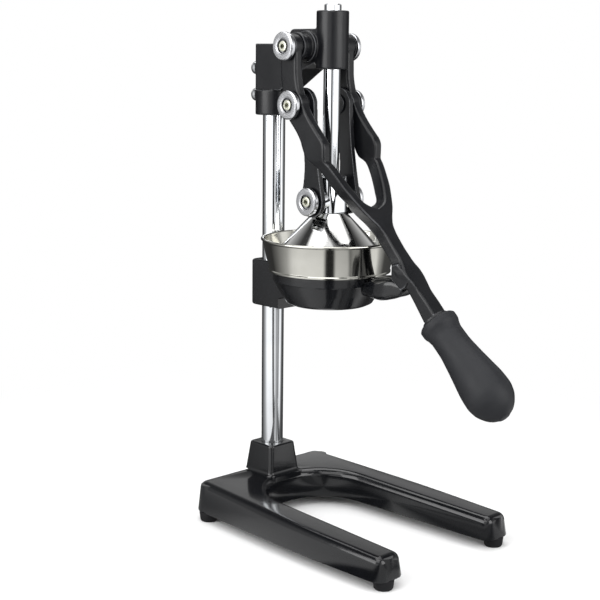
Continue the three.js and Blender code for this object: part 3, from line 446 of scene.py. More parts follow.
# Stainless steel spun over a former and buffed: a mirror that faint rings draw out. Real rings
# are about 0.1 mm apart and are drawn 0.8 mm apart. The polished one is darker and smoother.
SPUN = TurnedMetal(
    "spun stainless steel", "brushed stainless steel", 0xDCDCDB, 0xD0D0CE, 0.085, depth_mm=0.008,
)
POLISHED = TurnedMetal(
    "polished stainless steel", "brushed stainless steel", 0xBBBAB4, 0xAEADA6, 0.095,
    depth_mm=0.007,
)

# Zinc on a steel screw, yellow passivated: a pale, slightly green and mottled satin.
ZINC = Plated("yellow passivated zinc", "zinc plated screw", 0xD8D8CC, 0xC3C4B2, 0.38)

# Bronze powder, pressed and sintered: a dull brown gold with dark pores.
BRONZE = Plated("sintered bronze", "bearing bronze", 0xA9854E, 0x7D6238, 0.4)

# Rubber, moulded: flat black. Polypropylene, moulded with a grain: dark grey and softly matt.
# The grain is about 0.2 mm in truth and is drawn 0.5 mm coarse.
RUBBER = Moulded("moulded black rubber", "black rubber", 0x101011, 0x17171A, 0.75)
GRIP = Moulded("grained black polypropylene", "moulded black grip", 0x1A1B1E, 0x212225, 0.52)


def turned_nickel(name: str, pin: Point2) -> Finish:
    """Nickel on turned steel: warm grey satin with rings round one cross axis.

    The rings are about 0.1 mm apart in truth and are drawn 0.6 mm apart.

    Args:
        name: What the material is named after.
        pin: Y and Z of the axis.

    Returns:
        The finish.
    """
    return TurnedMetal(
        f"turned nickel plate, {name}", "nickel plated steel", 0xC9CACD, 0xBCBDC0, 0.24, 0.6,
        turning=Turning.ACROSS, centre=(0.0, *pin),
    )


# Mesh tools


def place(point: Sequence[float]) -> Point3:
    """Turns X, Y and Z in millimetres into metres of the shared frame."""
    return (point[0] * MM, point[1] * MM + AXIS_Y, point[2] * MM)


def fillet(corners: Sequence[Corner], steps: int = 6, closed: bool = True) -> list[Point2]:
    """Rounds the corners of an outline with true arcs.

    Args:
        corners: Points with the radius of each corner.
        steps: Facets of one arc.
        closed: Whether the last corner joins the first.

    Returns:
        The points of the rounded outline.
    """
    points: list[Point2] = []
    count = len(corners)
    for i, (a, b, radius) in enumerate(corners):
        corner = Vector((a, b))
        ends = not closed and i in (0, count - 1)
        before = Vector(corners[i - 1][:2]) - corner
        after = Vector(corners[(i + 1) % count][:2]) - corner
        if ends or radius <= 0 or before.length == 0 or after.length == 0:
            points.append((a, b))
            continue
        half = before.angle(after) / 2
        reach = min(radius / math.tan(half), before.length * 0.5, after.length * 0.5)
        if reach < 1e-6 or half > QUARTER - 1e-4:
            points.append((a, b))
            continue
        arc = reach * math.tan(half)
        start = corner + before.normalized() * reach
        middle = before.normalized() + after.normalized()
        centre = corner + middle.normalized() * math.hypot(reach, arc)
        cross = before.x * after.y - before.y * after.x
        turn = (math.pi - 2 * half) * (1 if cross < 0 else -1)
        for step in range(steps + 1):
            angle = turn * step / steps
        dx, dy = start - centre
        for step in range(steps + 1):
            angle = turn * step / steps
            cos, sin = math.cos(angle), math.sin(angle)
            points.append((centre.x + dx * cos - dy * sin, centre.y + dx * sin + dy * cos))
    return points


def smooth_table(rows: Sequence[Sequence[float]], steps: int) -> np.ndarray:
    """Fits a smooth curve without overshoot through rows that are sorted by their first value.

    Args:
        rows: The rows. The first column is the position.
        steps: How many rows to return between two given rows.

    Returns:
        The denser rows.
    """
    table = np.array(rows, float)
    x, y = table[:, :1], table[:, 1:]
    run = np.diff(x, axis=0)
    slope = np.diff(y, axis=0) / run
    same = slope[:-1] * slope[1:] > 0
    first, second = 2 * run[1:] + run[:-1], run[1:] + 2 * run[:-1]
    before, after = np.where(same, slope[:-1], 1.0), np.where(same, slope[1:], 1.0)
    inner = np.where(same, (first + second) / (first / before + second / after), 0.0)
    tangent = np.vstack([slope[:1], inner, slope[-1:]])
    t = (np.arange(steps) / steps)[:, None]
    out = []
    for i, h in enumerate(run):
        value = (
            (2 * t**3 - 3 * t**2 + 1) * y[i]
            + (t**3 - 2 * t**2 + t) * h * tangent[i]
            + (-2 * t**3 + 3 * t**2) * y[i + 1]
            + (t**3 - t**2) * h * tangent[i + 1]
        )
        out.append(np.hstack([x[i] + t * h, value]))
    return np.vstack([*out, table[-1:]])


def rounding(steps: int) -> list[Point2]:
    """A round edge of radius one: how far each step stays below the top and inside the side."""
    turns = [i / steps * QUARTER for i in range(steps + 1)]
    return [(1 - math.sin(turn), 1 - math.cos(turn)) for turn in turns]


def oblong(half: float, low: float, high: float, radii: Point2, steps: int) -> list[Point2]:
    """Outline of a rectangle with round corners, even about zero in its first direction.

    Args:
        half: Half its size in the first direction.
        low: Where it starts in the second.
        high: Where it ends in the second.
        radii: Radius of the corners at its start and at its end.
        steps: Facets of a corner.

    Returns:
        The points.
    """
    start, end = radii
    corners = [(half, low, start), (half, high, end), (-half, high, end), (-half, low, start)]
    return fillet(corners, steps)


def add_object(name: str, data: bpy.types.ID) -> Piece:
    """Makes an object of some data and links it to the scene.

    Args:
        name: What the object is called.
        data: Its mesh, lamp or camera.

    Returns:
        The linked object.
    """
    made = bpy.data.objects.new(name, data)
    bpy.context.scene.collection.objects.link(made)
    return made


@dataclass
class Shell:
    """A closed mesh in millimetres, kept as plain lists until it becomes an object."""

    points: list[Point3] = field(default_factory=list)
    faces: list[tuple[int, ...]] = field(default_factory=list)

    def add(self, other: "Shell") -> None:
        """Adds another shell to this one.

        Args:
            other: The shell to copy in.
        """
        start = len(self.points)
        self.points.extend(other.points)
        self.faces.extend(tuple(i + start for i in face) for face in other.faces)

    def bridge(self, rows: Sequence[Sequence[int]]) -> None:
        """Joins closed rows of points with faces, and drops points that repeat.

        Args:
            rows: Numbers of the points, with the same count in each row.
        """
        for low, high in zip(rows, rows[1:]):
            for i in range(len(low)):
                j = (i + 1) % len(low)
                face = tuple(dict.fromkeys((low[i], low[j], high[j], high[i])))
                if len(face) > 2:
                    self.faces.append(face)

    def turned(self, matrix: Matrix) -> "Shell":
        """Returns the shell moved by a matrix in millimetres."""
        points = [tuple(matrix @ Vector(point)) for point in self.points]
        return Shell(points, list(self.faces))

    def to_object(self, name: str) -> Piece:
        """Makes a mesh object with merged points and outward faces.

        Args:
            name: The object's name.

        Returns:
            The object, linked to the scene.
        """
        mesh = bpy.data.meshes.new(name)
        mesh.from_pydata([place(point) for point in self.points], [], self.faces)
        work = bmesh.new()
        work.from_mesh(mesh)
        bmesh.ops.remove_doubles(work, verts=work.verts, dist=1e-7)
        bmesh.ops.dissolve_degenerate(work, edges=work.edges, dist=1e-8)
        bmesh.ops.recalc_face_normals(work, faces=work.faces)
        work.to_mesh(mesh)
        work.free()
        return add_object(name, mesh)


def lathe(profile: Sequence[Point2], segments: int = 96, closed: bool = False) -> Shell:
    """Turns a profile of radius and height about Z.

    Args:
        profile: The profile. It starts and ends on the axis, or closes.
        segments: Facets round the axis.
        closed: Whether the last point joins the first.

    Returns:
        The closed shell.
    """
    shell = Shell()
    rows: list[list[int]] = []
    for radius, height in profile:
        start = len(shell.points)
        if radius < 1e-6:
            shell.points.append((0.0, 0.0, height))
            rows.append([start] * segments)
            continue
        for step in range(segments):
            angle = 2 * math.pi * step / segments
            shell.points.append((radius * math.cos(angle), radius * math.sin(angle), height))
        rows.append(list(range(start, start + segments)))
    shell.bridge([*rows, rows[0]] if closed else rows)
    return shell


def skin(rings: Sequence[Sequence[Point3]]) -> Shell:
    """Skins rings of points and closes both ends.

    Args:
        rings: Rings with the same number of points.

    Returns:
        The closed shell.
    """
    size = len(rings[0])
    shell = Shell([tuple(point) for ring in rings for point in ring])
    rows = [range(i * size, (i + 1) * size) for i in range(len(rings))]
    shell.bridge(rows)
    shell.faces += [tuple(reversed(rows[0])), tuple(rows[-1])]
    return shell


def stack(levels: Iterable[tuple[float, Sequence[Point2]]]) -> Shell:
    """Skins outlines in X and Y, each at its own height."""
    return skin([[(x, y, z) for x, y in outline] for z, outline in levels])


def slab(outline: Sequence[Point2], low: float, high: float, axis: str) -> Shell:
    """Extrudes an outline along X or Z.

    Args:
        outline: The outline, as (Y, Z) for X and as (X, Y) for Z.
        low: Where the slab starts.
        high: Where it ends.
        axis: The letter of the axis.

    Returns:
        The closed shell.
    """
    if axis == "X":
        return skin([[(level, a, b) for a, b in outline] for level in (low, high)])
    return stack([(low, outline), (high, outline)])


def barrel(
    radius: float, low: float, high: float, axis: str = "Z", centre: Point3 = (0.0, 0.0, 0.0),
    edge: float = 0.0, segments: int = 96,
) -> Shell:
    """Makes a round bar with rounded edges.

    Args:
        radius: Its radius.
        low: Where it starts along its axis.
        high: Where it ends.
        axis: The letter of the axis.
        centre: A point on the axis.
        edge: Radius of its edges.
        segments: Facets round the axis.

    Returns:
        The closed shell.
    """
    profile = fillet(
        [(0, low, 0), (radius, low, edge), (radius, high, edge), (0, high, 0)], 4, closed=False,
    )
    return lathe(profile, segments).turned(spin(axis, centre))


def spin(axis: str, centre: Point3) -> Matrix:
    """Turns a body made about Z to another axis.

    Args:
        axis: X, Y or Z.
        centre: Where its origin goes.

    Returns:
        The matrix in millimetres.
    """
    turns = {"X": (QUARTER, "Y"), "Y": (-QUARTER, "X"), "Z": (0.0, "Z")}
    angle, about = turns[axis]
    return Matrix.Translation(centre) @ Matrix.Rotation(angle, 4, about)


def freeze(made: Piece, name: str) -> Piece:
    """Applies everything on an object to a new plain mesh object.

    Args:
        made: The object with its modifiers.
        name: Name of the result.

    Returns:
        The plain object. The first one is removed.
    """
    bpy.context.view_layer.update()
    graph = bpy.context.evaluated_depsgraph_get()
    mesh = bpy.data.meshes.new_from_object(made.evaluated_get(graph), depsgraph=graph)
    mesh.name = name
    made.modifiers.clear()
    bpy.data.objects.remove(made)
    return add_object(name, mesh)


def carve(made: Piece, tools: Iterable[Shell | Piece], operation: str = "DIFFERENCE") -> Piece:
    """Cuts shells or objects out of an object, or joins them to it.

    Args:
        made: The object.
        tools: What to cut with. It is used up.
        operation: DIFFERENCE or UNION.

    Returns:
        The carved object.
    """
    helpers = []
    for number, tool in enumerate(tools):
        helpers.append(tool if isinstance(tool, Piece) else tool.to_object(f"tool_{number}"))
        modifier = made.modifiers.new("carve", "BOOLEAN")
        modifier.operation = operation
        modifier.solver = "EXACT"
        modifier.object = helpers[-1]
    result = freeze(made, made.name)
    for helper in helpers:
        bpy.data.objects.remove(helper)
    return result


def cast_union(shells: Sequence[Shell], name: str, voxel: float, passes: int) -> Piece:
    """Melts shells into one casting whose inner corners and edges are softly rounded.

    Args:
        shells: The shells.
        name: Name of the result.
        voxel: Size of the remesh in millimetres.
        passes: Smoothing passes, which set how round the edges are.

    Returns:
        The casting.
    """
    whole = Shell()
    for shell in shells:
        whole.add(shell)
    made = whole.to_object(name)
    remesh = made.modifiers.new("melt", "REMESH")
    remesh.mode = "VOXEL"
    remesh.voxel_size = voxel * MM
    soften = made.modifiers.new("soften", "SMOOTH")
    soften.factor = 0.5
    soften.iterations = passes
    return freeze(made, name)


def dress(
    made: Piece, finish: Finish, body: Body, nodes: Sequence[str], sharp: float = 32.0,
) -> None:
    """Finishes a piece and gives it its place in the frame.

    Args:
        made: The piece.
        finish: Its finish, whose material it takes.
        body: The body that it rides on.
        nodes: The frame nodes that it stands for.
        sharp: Edges over this angle stay sharp.
    """
    made.data.materials.clear()
    made.data.materials.append(finish.material())
    made.data.shade_smooth()
    made.data.set_sharp_from_angle(angle=math.radians(sharp))
    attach(made, body.value)
    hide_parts(*nodes)
    log.info("%s: %d faces, rides on %s", made.name, len(made.data.polygons), body.value)


# Geometry Nodes


class Grown:
    """A Geometry Nodes tree with named inputs that is run once into a plain mesh."""

    def __init__(self, name: str, values: dict[str, object]) -> None:
        """Starts the tree with its inputs.

        Args:
            name: Name of the tree and of the piece.
            values: Value of each input by its label.
        """
        self.name = name
        self.tree = bpy.data.node_groups.new(name, "GeometryNodeTree")
        sockets = self.tree.interface
        for way in ("OUTPUT", "INPUT"):
            sockets.new_socket("Geometry", in_out=way, socket_type="NodeSocketGeometry")
        kinds = {float: "Float", int: "Int", tuple: "Vector", Piece: "Object"}
        self.values = {}
        for label, value in values.items():
            kind = f"NodeSocket{kinds[type(value)]}"
            socket = sockets.new_socket(label, in_out="INPUT", socket_type=kind)
            self.values[socket.identifier] = value
        self.inputs = add_node(self.tree, "NodeGroupInput").outputs

    def run(self, shape: Node, finish: Finish, source: Piece | None = None) -> Piece:
        """Ends the tree, runs it and keeps what it makes.

        Args:
            shape: The node that gives the piece's geometry.
            finish: The piece's finish.
            source: The object that the tree works on, or None for an empty one.

        Returns:
            The plain piece.
        """
        real = add_node(self.tree, "GeometryNodeRealizeInstances", inputs={0: shape})
        coated = {"Geometry": real, "Material": finish.material()}
        coat = add_node(self.tree, "GeometryNodeSetMaterial", inputs=coated)
        add_node(self.tree, "NodeGroupOutput", inputs={0: coat})
        source = source or add_object(self.name, bpy.data.meshes.new(self.name))
        modifier = source.modifiers.new(self.name, "NODES")
        modifier.node_group = self.tree
        for identifier, value in self.values.items():
            modifier[identifier] = value
        return freeze(source, self.name)


def spread(
    name: str, pattern: Shell, places: Sequence[Point3], finish: Finish,
    turns: Sequence[Point3] = (),
) -> Piece:
    """Sets copies of a pattern piece on a list of places with a node tree.

    Args:
        name: The object's name.
        pattern: The pattern piece, with its sharp edges over 32 degrees.
        places: Where each copy goes, in millimetres.
        finish: Its finish.
        turns: How each copy is turned, or nothing where none is.

    Returns:
        One plain object with every copy.
    """
    raised = [(x, y - AXIS_Y / MM, z) for x, y, z in pattern.points]
    source = Shell(raised, pattern.faces).to_object(f"{name}_pattern")
    source.data.shade_smooth()
    source.data.set_sharp_from_angle(angle=math.radians(32))
    values: dict[str, object] = {"Piece": source}
    for i, spot in enumerate(places):
        values[f"Place {i + 1}"] = place(spot)
        values[f"Turn {i + 1}"] = turns[i] if turns else (0.0, 0.0, 0.0)
    grown = Grown(name, values)
    tree, inputs = grown.tree, grown.inputs
    info = add_node(tree, "GeometryNodeObjectInfo", inputs={"Object": inputs["Piece"]})
    copies = []
    for i in range(1, len(places) + 1):
        spot = add_node(tree, "GeometryNodePoints", inputs={"Position": inputs[f"Place {i}"]})
        copy = {
            "Points": spot, "Instance": info.outputs["Geometry"], "Rotation": inputs[f"Turn {i}"],
        }
        copies.append(add_node(tree, "GeometryNodeInstanceOnPoints", inputs=copy))
    gather = add_node(tree, "GeometryNodeJoinGeometry", inputs={0: copies})
    made = grown.run(gather, finish)
    bpy.data.objects.remove(source)
    return made


def both_sides(
    name: str, pattern: Shell, reach: float, pin: Point2, finish: Finish, body: Body, stem: str,
) -> None:
    """Sets a pattern piece that faces +Z on both sides of the press, and dresses the pair.

    Args:
        name: The object's name.
        pattern: The pattern piece.
        reach: Distance of its origin from the middle.
        pin: Y and Z of its axis.
        finish: Its finish.
        body: The body that it rides on.
        stem: The name of its nodes without the side.
    """
    places = [(side.value * reach, *pin) for side in Side]
    turns = [(0.0, side.value * QUARTER, 0.0) for side in Side]
    made = spread(name, pattern, places, finish, turns)
    dress(made, finish, body, [f"{stem}_left", f"{stem}_right"])


# Hardware


def ring(outer: float, bore: float, length: float, edge: float = 0.4) -> Shell:
    """A plain ring by its two radii, its length and its edge radius, its outer face at zero."""
    corners = [(bore, -length, 0.2), (outer, -length, edge), (outer, 0, edge), (bore, 0, 0.2)]
    return lathe(fillet(corners, 4), closed=True)


def socket_screw(corners: Sequence[Corner], across: float, head: float, depth: float) -> Shell:
    """Turns a screw's outside and closes its head with a hex socket.

    Args:
        corners: Profile from the tip on the axis to the rim of the socket.
        across: Radius of the hexagon's corners.
        head: Height of the head's face.
        depth: Depth of the socket.

    Returns:
        The closed screw.
    """
    segments = 48
    profile = fillet(corners, 3, closed=False)
    shell = lathe([*profile, (0.0, head)], segments)
    top = len(shell.points) - 1
    shell.faces = [face for face in shell.faces if top not in face]
    shell.points.pop()
    rim = list(range(top - segments, top))

    def hexagon(radius: float, height: float) -> list[int]:
        """Adds a hexagonal ring with as many points as the rim.

        Args:
            radius: Distance from the middle to a corner.
            height: Where the ring lies.

        Returns:
            Numbers of its points.
        """
        start = len(shell.points)
        for step in range(segments):
            angle = 2 * math.pi * step / segments
            local = (angle + math.pi / 6) % (math.pi / 3) - math.pi / 6
            reach = radius * math.cos(math.pi / 6) / math.cos(local)
            shell.points.append((reach * math.cos(angle), reach * math.sin(angle), height))
        return list(range(start, start + segments))

    rings = [rim, hexagon(across, head), hexagon(across, head - depth), hexagon(0.4, head - depth)]
    shell.bridge(rings)
    shell.faces.append(tuple(rings[-1]))
    return shell


@dataclass(frozen=True)
class EndHardware:
    """Washer, bright disc and socket screw at the two ends of one pin axis."""

    disc_radius: float = 15.0
    disc_thickness: float = 5.5
    disc_edge: float = 1.3
    recess_radius: float = 7.6
    recess_depth: float = 3.4
    screw_radius: float = 5.5
    screw_head: float = 2.8
    shank_radius: float = 3.6
    shank_length: float = 12.0
    hex_across: float = 2.9
    hex_depth: float = 4.6
    washer_radius: float = 13.4
    washer_length: float = 2.0
    gap: float = 0.3

    def disc(self) -> Shell:
        """The turned disc, its face at zero, with a fine step round the recess.

        Returns:
            The disc, along Z.
        """
        edge, low, recess = self.disc_edge, -self.disc_thickness, self.recess_radius
        bore = self.shank_radius + self.gap
        corners = [
            (bore, low, 0.2), (self.disc_radius - 0.2, low, 0.4),
            (self.disc_radius, low + 0.8, 0.3), (self.disc_radius, -edge, 0.5),
            (self.disc_radius - edge, 0, 0.5), (recess + 1.5, 0, 0.2), (recess + 1.1, -0.25, 0.2),
            (recess + 0.5, -0.25, 0.2), (recess, -0.7, 0.3), (recess, -self.recess_depth, 0.2),
            (bore, -self.recess_depth, 0.2),
        ]
        return lathe(fillet(corners, 3), closed=True)

    def screw(self) -> Shell:
        """The socket screw, with a hex recess and a chamfered rim.

        Returns:
            The screw, along Z.
        """
        seat = self.gap - self.recess_depth
        head, tip = seat + self.screw_head, seat - self.shank_length
        corners = [
            (0, tip, 0), (self.shank_radius - 0.6, tip, 0.2), (self.shank_radius, tip + 0.6, 0.2),
            (self.shank_radius, seat, 0.2), (self.screw_radius, seat, 0.3),
            (self.screw_radius, head - 0.2, 0.5), (self.hex_across + 1.5, head, 0.4),
            (self.hex_across + 0.35, head, 0.2),
        ]
        return socket_screw(corners, self.hex_across, head, self.hex_depth)

    def fit(
        self, stem: str, body: Body, pin: Point2, end: float, bore: float, bright: Finish,
    ) -> None:
        """Sets discs, screws and washers on both ends of a pin axis.

        Args:
            stem: Name of the pin, which starts the names of all three.
            body: The body that they ride on.
            pin: Y and Z of the axis.
            end: Distance of the discs' faces from the middle.
            bore: Radius of the washers' holes.
            bright: The discs' finish.
        """
        seat = end - self.disc_thickness - self.gap
        washer = ring(self.washer_radius, bore, self.washer_length)
        for kind, pattern, reach, finish in (
            ("disc", self.disc(), end, bright), ("screw", self.screw(), end, ZINC),
            ("washer", washer, seat, ENAMEL),
        ):
            both_sides(f"{stem}_end_{kind}s", pattern, reach, pin, finish, body, f"{stem}_{kind}")


# Sub-assemblies


@dataclass
class Base:
    """The U-shaped base casting with its post block, feet and foot screws."""

    foot_height: float = 11.0
    outline: tuple[Corner, ...] = (
        (96.5, 116.0, 14.0), (-96.5, 116.0, 14.0), (-105.8, -60.0, 1500.0), (-105.0, -178.3, 12.0),
        (-66.0, -178.3, 12.0), (-58.0, 62.0, 55.0), (58.0, 62.0, 55.0), (66.0, -178.3, 12.0),
        (105.0, -178.3, 12.0), (105.8, -60.0, 1500.0),
    )
    tip: float = -178.3
    back: float = 116.0
    tip_height: float = 24.6
    back_height: float = 34.0
    draft: float = 0.16
    edge: float = 8.5
    wall: float = 5.0
    post_top: float = 78.5
    post_top_half: float = 19.2
    post_top_edge: float = 2.4
    post_foot_half: float = 22.4
    post_corner: float = 5.0
    post_flare: float = 5.0
    socket_radius: float = 17.5
    bolt_bore: float = 5.3
    foot_boss: float = 9.0
    foot_bore: float = 2.8
    feet: tuple[tuple[str, float, float], ...] = (
        ("front_left", -87.75, -168.0), ("front_right", 87.75, -168.0), ("back_left", -87.5, 99.5),
        ("back_right", 87.5, 99.5),
    )

    def height(self, y: float) -> float:
        """Height of the casting's top above the table at one Y."""
        share = (y - self.tip) / (self.back - self.tip)
        return self.foot_height + self.tip_height + (self.back_height - self.tip_height) * share

    def inset(self, distance: float, steps: int) -> list[Point2]:
        """The outline moved inwards with its corners rounded.

        Args:
            distance: How far inwards.
            steps: Facets of each corner.

        Returns:
            The outline's points.
        """
        count = len(self.outline)
        moved: list[Corner] = []
        for i, (x, y, radius) in enumerate(self.outline):
            px, py, _ = self.outline[i - 1]
            nx, ny, _ = self.outline[(i + 1) % count]
            first = Vector((py - y, x - px)).normalized()
            second = Vector((y - ny, nx - x)).normalized()
            miter = (first + second) / (1 + first.dot(second))
            hollow = first.x * second.y - first.y * second.x < 0
            fitted = max(radius + (distance if hollow else -distance), 0.6)
            moved.append((x + miter.x * distance, y + miter.y * distance, fitted))
        return fillet(moved, steps)

    def body(self, start: float, bottom: float, top_wall: float, edge: float, steps: int) -> Shell:
        """A drafted body over the outline whose upper edge is rounded.

        Args:
            start: Inset at the bottom.
            bottom: Height of its underside.
            top_wall: How far its top stays below the casting's top.
            edge: Radius of its upper edge.
            steps: Rings of that edge.

        Returns:
            The closed shell.
        """
        lip = 1.2
        rings = [[(x, y, bottom) for x, y in self.inset(start + lip * 0.35, 10)]]
        rings.append([(x, y, bottom + lip) for x, y in self.inset(start, 10)])
        drafted = start + self.draft * (self.tip_height - top_wall - edge)
        for below, inside in rounding(steps):
            outline = self.inset(drafted + edge * inside, 10)
            rings.append([(x, y, self.height(y) - top_wall - edge * below) for x, y in outline])
        return skin(rings)

    def post(self) -> Shell:
        """The tapered post block with a soft flare onto the base.

        Returns:
            The post block.
        """
        plate, flare, edge = self.height(COLUMN_Y), self.post_flare, self.post_top_edge
        levels = [(plate - 6.0, self.post_foot_half + flare)]
        for out, up in rounding(8):
            levels.append((plate + flare * up - 0.6, self.post_foot_half + flare * out))
        for below, inside in rounding(5):
            levels.append((self.post_top - edge * below, self.post_top_half - edge * inside))
        outlines = []
        for z, half in levels:
            corner = self.post_corner + max(0.0, half - self.post_foot_half)
            back = min(COLUMN_Y + half, self.back - 10.0) if z < plate + 1 else COLUMN_Y + half
            outlines.append((z, oblong(half, COLUMN_Y - half, back, (corner, corner), 8)))
        return stack(outlines)

    def casting(self) -> Piece:
        """The base: shell, hollow underside, post and the socket of the column.

        Returns:
            The casting, bored and hollow.
        """
        column, foot = (0, COLUMN_Y, 0), self.foot_height
        made = self.body(0, foot, 0, self.edge, 12).to_object("base_body")
        made = carve(made, [self.body(self.wall, foot - 2, self.wall, self.edge / 2, 4)])
        socket = barrel(self.socket_radius, 20, 44, centre=column)
        made = carve(made, [self.post(), socket], "UNION")
        bosses, holes = [], []
        for _, x, y in self.feet:
            spot, top = (x, y, 0), self.height(y) - 2
            bosses.append(barrel(self.foot_boss, foot, top, centre=spot, segments=48))
            holes.append(barrel(self.foot_bore, 9, 17.8, centre=spot, segments=24))
        holes.append(barrel(COLUMN_BORE, 27, 90, centre=column))
        holes.append(barrel(self.bolt_bore, 15, 30, centre=column, segments=32))
        return carve(carve(made, bosses, "UNION"), holes)

    def build(self) -> None:
        """Builds and dresses the base."""
        dress(self.casting(), ENAMEL, Body.FRAME, ["base_casting"], 40.0)
        places = [(x, y, 0.0) for _, x, y in self.feet]
        corners = [
            (5.1, 0.0, 0.4), (8.6, 0.0, 0.8), (9.9, 1.6, 1.0), (10.9, 9.6, 0.6), (10.6, 11.0, 0.4),
            (2.8, 11.0, 0), (2.8, 5.5, 0), (5.1, 5.5, 0),
        ]
        foot = lathe(fillet(corners, 4), 64, closed=True)
        feet = spread("rubber_feet", foot, places, RUBBER)
        dress(feet, RUBBER, Body.FRAME, [f"foot_{where}" for where, _, _ in self.feet])
        corners = [
            (0, -17.5, 0), (2.5, -17.5, 0.4), (2.5, -5.2, 0), (4.8, -5.2, 0), (4.8, -3.2, 0.8),
            (2.2, -2.2, 0),
        ]
        screw = socket_screw(corners, 1.6, -2.2, 1.2)
        down = [(math.pi, 0.0, 0.0)] * len(places)
        screws = spread("foot_fixings", screw, places, ZINC, down)
        dress(screws, ZINC, Body.FRAME, [f"foot_screw_{where}" for where, _, _ in self.feet])


@dataclass
class Column:
    """The chromed column tube."""

    radius: float = 12.5
    wall: float = 2.5
    bolt_radius: float = 5.3
    foot: float = 27.3
    plug: float = 22.0
    top: float = 525.5

    def build(self) -> None:
        """Builds and dresses the column."""
        inside, plug = self.radius - self.wall, self.foot + self.plug
        corners = [
            (self.bolt_radius, self.foot, 0), (self.radius, self.foot, 0.6),
            (self.radius, self.top, 0.6), (inside, self.top, 0.3), (inside, plug, 0),
            (self.bolt_radius, plug, 0),
        ]
        tube = lathe(fillet(corners, 4), 128, closed=True)
        made = tube.turned(Matrix.Translation((0, COLUMN_Y, 0))).to_object("column")
        dress(made, CHROME, Body.FRAME, ["column_tube"])


